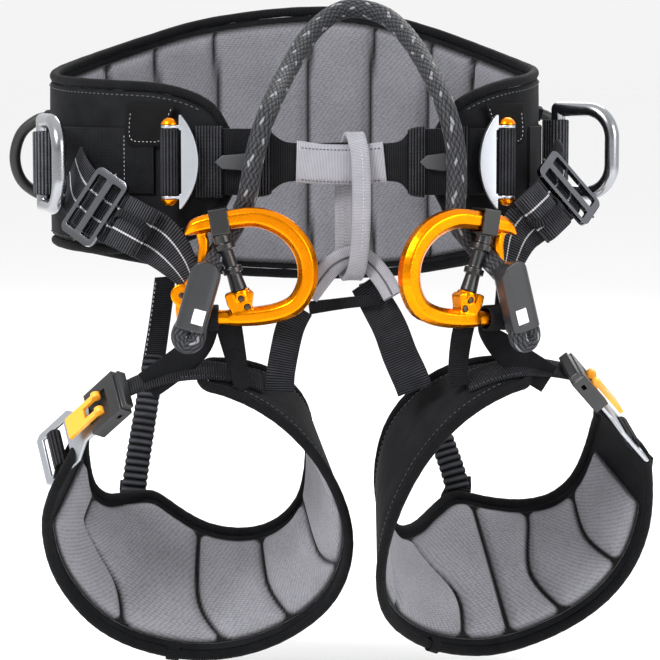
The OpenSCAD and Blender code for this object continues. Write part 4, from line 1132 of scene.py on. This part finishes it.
# %% Leg loop pattern
leg_rows = {
    "left": [[84, -26, -2], [68, -32, 6], [50, -38, 16], [30, -42, 30], [10, -44, 44], [-10, -36, 52],
             [-30, -20, 57], [-50, -15, 59], [-70, -18, 61], [-90, -26, 62], [-106, -36, 61], [-120, -42, 60],
             [-133, -34, 58], [-146, -21, 54], [-160, -16, 50], [-175, -20, 46], [-190, -20, 44],
             [-204, -16, 38]],
    "right": [[84, -26, -2], [68, -32, 5], [50, -36, 14], [30, -36, 28], [10, -32, 44], [-10, -20, 56],
              [-30, -10, 61], [-48, -10, 60], [-64, -22, 60], [-78, -38, 60], [-92, -48, 60], [-108, -40, 58],
              [-124, -29, 56], [-140, -21, 53], [-156, -20, 47], [-172, -24, 38], [-188, -26, 28],
              [-204, -22, 22]]}
leg_rx, leg_ru, leg_tilt, leg_cone = 86, 90, math.radians(38), 0.0032
left_leg_at, right_leg_at = np.array([-98, -80, -217.0]), np.array([108, -80, -215.0])


def leg_at(side, angle, s, up):
    q = 1 + leg_cone * s
    a = math.radians(angle)
    x = (leg_rx * q + up) * math.cos(a)
    r = (leg_ru * q + up) * math.sin(a)
    p = np.array([x, -r * math.sin(leg_tilt) - s * math.cos(leg_tilt),
                  r * math.cos(leg_tilt) - s * math.sin(leg_tilt)])
    if side == "left":
        return p + left_leg_at
    c, n = math.cos(math.radians(20)), math.sin(math.radians(20))
    return np.array([-p[0] * c - p[1] * n, -p[0] * n + p[1] * c, p[2]]) + right_leg_at


# Each seam of the pads: places of angle and offset, from the back edge to the front edge.
leg_seams = {
    "left": [[(-159, 5), (-157, 14), (-144, 20), (-129, 33), (-122, 60)], [(-93, -30), (-92, 27), (-80, 60)],
             [(-60, -20), (-60, 24), (-50, 60)], [(-28, -20), (-28, 27), (-16, 52)], [(12, -40), (8, 44)],
             [(46, -36), (44, 20)], [(-182, -20), (-182, 46)]],
    "right": [[(-22, 0), (-22, 29), (-32, 42), (-41, 60)], [(-56, -15), (-56, -5), (-79, 23), (-78, 60)],
              [(-126, -28), (-125, -18), (-116, 18), (-124, 56)], [(-153, -20), (-146, 14), (-153, 48)],
              [(12, -32), (8, 44)], [(46, -36), (44, 18)], [(-100, -48), (-99, 58)],
              [(-180, -24), (-180, 34)]]}


leg_curves = {side: [spline(seam, 8) for seam in seams] for side, seams in leg_seams.items()}


def leg_seam(side, angle, s):
    return min(abs(angle - np.interp(s, seam[:, 1], seam[:, 0])) * 1.55 for seam in leg_curves[side])


# %% [markdown]
# A leg loop is sewn flat and bends round the thigh when it is closed. So every part is laid out in the
# flat terms of angle and offset, and `leg_at` bends it. Small sewn tabs take the rear elastics, and a
# turn of tape covers the place where the binding's ends meet.

# %% Leg shells, pads and edges
tape_joins = {"left": -100, "right": -64}
rear_tabs = {"left": (-123.5, -39.8), "right": (-92, -48)}
for side in ("left", "right"):
    body = side + "_leg"
    r = spline(leg_rows[side], 8)
    rings = []
    for k, (a, b, f) in enumerate(r):
        puff = 0.3 * math.sin(k * 0.4) + 0.2 * math.sin(k * 0.17)
        ring = [(f, 0.2), ((b + f) / 2, 0.2), (b, 0.2), (b - 0.2, 1.3), (b + 1, 2.4), (b + 4, 3.2)]
        ring += [(b + (f - b) * t, 3.4 + puff) for t in (0.2, 0.35, 0.5, 0.65, 0.8)]
        ring += [(f - 4, 3.2), (f - 1, 2.4), (f + 0.2, 1.3)]
        rings.append([leg_at(side, a, s, up) for s, up in ring])
    cover = skin(side + "_leg_softshell", rings, shell_cloth, body)
    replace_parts(cover, side + "_leg_shell")

    rows = spline(leg_rows[side], 22)[36:-36]

    def leg_place(k, t, up, side=side, rows=rows):
        a, b, f = rows[k]
        return leg_at(side, a, b + 4 + (f - b - 8) * t, up)

    def seam_at(k, t, side=side, rows=rows):
        a, b, f = rows[k]
        return leg_seam(side, a, b + 4 + (f - b - 8) * t)

    def edge_at(k, t, side=side, rows=rows):
        back, front = rows[k][1:]
        return min(t, 1 - t) * (front - back - 8) + 0.4

    inner = pad(side + "_leg_pads", body, leg_knit, leg_place, range(len(rows)), np.linspace(0, 1, 60),
                seam_at, edge_at,
                leg_foam_t)
    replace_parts(inner, side + "_leg_foam")

    r = spline(leg_rows[side], 2)
    outline = [leg_at(side, a, f + lift, 0.8) for a, b, f in r]
    a, b, f = r[-1]
    outline += [leg_at(side, a - 3, b * (1 - t) + f * t, 0.8) for t in (0.8, 0.2)]
    outline += [leg_at(side, a, b - lift, 0.8) for a, b, f in r[::-1]]
    a, b, f = r[0]
    outline += [leg_at(side, a + 3, b * (1 - t) + f * t, 0.8) for t in (0.2, 0.8)]
    tape = cordlike(side + "_leg_binding_tape", ring_spline(outline, 6), bead, binding_tape, body, (0, 0, 1),
                    closed=True, wrinkle=0.03)
    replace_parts(tape, side + "_leg_binding")
    r = spline(leg_rows[side], 6)[4:-4]
    for edge, name in ((2, "front"), (1, "back")):
        inset = -3.2 if edge == 2 else 3.2
        line = np.array([leg_at(side, q[0], q[edge] + inset, 3.45) for q in r])
        above = np.array([leg_at(side, q[0], q[edge] + inset, 8) for q in r])
        out = np.array([unit(w) for w in above - line])
        stitches(f"{side}_leg_{name}_stitches", body, line, out, dark_thread)
    a = tape_joins[side]
    row = min(spline(leg_rows[side], 6), key=lambda q: abs(q[0] - a))
    join_rows = []
    for k in range(12):
        t = 2 * math.pi * k / 12
        q = leg_at(side, row[0], row[2] + lift + 3.9 * math.cos(t), 0.8 + 3.9 * math.sin(t))
        w = leg_at(side, row[0] + 1, row[2] + lift + 3.9 * math.cos(t), 0.8 + 3.9 * math.sin(t)) - q
        join_rows.append([*q, *w, 9])
    strap(side + "_leg_tape_join", body, join_rows, 0.8, binding_tape, steps=3, closed=True)
    a, b = rear_tabs[side]
    end = np.array(elastic_rows[side][0][:3])
    tab_rows = [end + [0, 2, 9], end, leg_at(side, a, b - 4, 6.4), leg_at(side, a, b + 5, 5.2),
                leg_at(side, a, b + 22, 4.6)]
    strap(side + "_rear_tab_webbing", body, [[*q, 1, 0, 0, 19] for q in tab_rows], 2, black_webbing, steps=8,
          slot="black_webbing")
print("leg loops made")

# %% [markdown]
# ## Thigh webbing and quick buckles
# Ribbed webbing is sewn on the padded inner end of each loop and runs into the quick buckle. The buckle
# is a silver frame with the webbing wound on its bar, and a moulded body with an orange lever.

# %% Thigh webbing
thigh_rows = {"left": [[122, -3, 6], [110, -8, 4.5], [96, -12, 4], [84, -14, 3.8], [72, -14, 3.8],
                       [60, -13, 3.8]],
              "right": [[106, -9, 5], [97, -12, 4], [84, -14, 3.8], [72, -14, 3.8], [60, -13, 3.8]]}
outer_rows = [[-160, 14, 3.8], [-175, 13, 3.8], [-190, 12, 3.8], [-200, 11, 5.5]]


def over_leg(side, rows, width):
    made = []
    for a, s, up in spline(rows, 4):
        q = leg_at(side, a, s, up + 1)
        made.append([*q, *(leg_at(side, a, s + 1, up + 1) - q), width])
    return made


for side in ("left", "right"):
    thigh = strap(side + "_thigh_webbing", side + "_leg", over_leg(side, thigh_rows[side], 24), 2,
                  black_webbing,
                  steps=3, slot="black_webbing")
    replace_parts(thigh, side + "_leg_webbing")
    strap(side + "_outer_leg_webbing", side + "_leg", over_leg(side, outer_rows, 30), 2, black_webbing,
          steps=3,
          slot="black_webbing")
    edge_rows = over_leg(side, thigh_rows[side][2:], 24)
    line = np.array([q[:3] for q in edge_rows])
    w = np.array([unit(q[3:6]) for q in edge_rows])
    out = np.cross(travel(line), w)
    middle = leg_at(side, 90, -12, -20)
    if np.dot(out[0], line[0] - middle) < 0:
        out = -out
    for k, shift in enumerate((-9.5, 9.5)):
        stitches(f"{side}_thigh_stitches_{k}", side + "_leg", line + w * shift + out * 1.05, out, dark_thread,
                 1.8, 2.8, 0.6)


# %% [markdown]
# The thigh webbing turns back round the buckle frame's bar, which is how its length is set. It is a
# closed strap round the bar, a little flattened, because two layers of webbing lie on its broad side.

# %% Webbing on the buckle's bar
def laid(p, way, across):
    x = unit(way)
    z = unit(np.cross(x, across))
    y = np.cross(z, x)
    return lambda q: np.array(p, float) + x * q[0] + y * q[1] + z * q[2]


fast = {"left": laid([-163, -126, -166], [0.66, -0.42, 0.62], [-0.2, 0.62, 0.76]),
        "right": laid([166, -112, -154], [-0.59, -0.44, 0.68], [0.2, -0.86, -0.39])}
for side, place in fast.items():
    rows = []
    for k in range(20):
        a = 2 * math.pi * k / 20
        q = place([-43.7 + 4.0 * math.copysign(abs(math.cos(a)) ** 0.8, math.cos(a)), 0, 3.1 * math.sin(a)])
        rows.append([*q, *(place([0, 1, 0]) - place([0, 0, 0])), 28.6])
    wound = strap(side + "_fast_wrap_webbing", side + "_leg", rows, 2.4, elastic, steps=3, closed=True,
                  slot="black_webbing")
    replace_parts(wound, side + "_fast_wrap")

# %% [markdown]
# ## Floor and light
# A pale floor and a pale sky stand for a studio's paper sweep. The sky is dimmer on the camera's side, as
# a studio is, so that polished metal has something dark to reflect. One large soft light from the upper left
# shapes the metal, a second fills from the right, and a third from behind draws the edges of the black
# fabric, which would otherwise be one dark shape.

# %% Floor and light
low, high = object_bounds()
floor_mesh = bpy.data.meshes.new("floor")
floor_mesh.from_pydata([(-30, -20, low[2] - 0.012), (30, -20, low[2] - 0.012), (30, 40, low[2] - 0.012),
                        (-30, 40, low[2] - 0.012)], [], [(0, 1, 2, 3)])
paper, p = new_finish("studio_paper_pale", "#fbfbfb", 0.9)
bump(paper, p, speckle(paper, 4, 2), 0.05)
floor_mesh.materials.append(paper)
floor = bpy.data.objects.new("floor", floor_mesh)
bpy.context.scene.collection.objects.link(floor)

sky = bpy.data.worlds.new("studio")
sky.use_nodes = True
backdrop = sky.node_tree.nodes["Background"].inputs
way = add(sky, "SeparateXYZ", {0: add(sky, "TexCoord").outputs["Generated"]}).outputs
behind = maths(sky, "MULTIPLY", maths(sky, "MAXIMUM", maths(sky, "MULTIPLY", way[1], -1.0), 0.0), -0.35)
glow = maths(sky, "MULTIPLY_ADD", way[2], 0.3, maths(sky, "MULTIPLY_ADD", way[1], 0.1,
                                                     maths(sky, "ADD", behind, 0.8)))
backdrop["Color"].default_value = (1, 1, 1, 1)
sky.node_tree.links.new(glow, backdrop["Strength"])
bpy.context.scene.world = sky
bpy.context.scene.view_settings.view_transform = "Standard"


def soft_light(name, at, size, power):
    light = bpy.data.objects.new(name, bpy.data.lights.new(name, "AREA"))
    light.data.size = size
    light.data.energy = power
    light.location = at
    aim = np.array([-0.01, 0, -0.1]) - np.array(at)
    light.rotation_euler = (math.acos(-aim[2] / np.linalg.norm(aim)), 0,
                            math.atan2(aim[1], aim[0]) - math.pi / 2)
    bpy.context.scene.collection.objects.link(light)


soft_light("key", (-1.1, -1.3, 1.3), 0.7, 46)
soft_light("fill", (1.4, -1.2, 0.5), 1.0, 18)
soft_light("rim", (0.4, 1.4, 1.3), 1.0, 20)
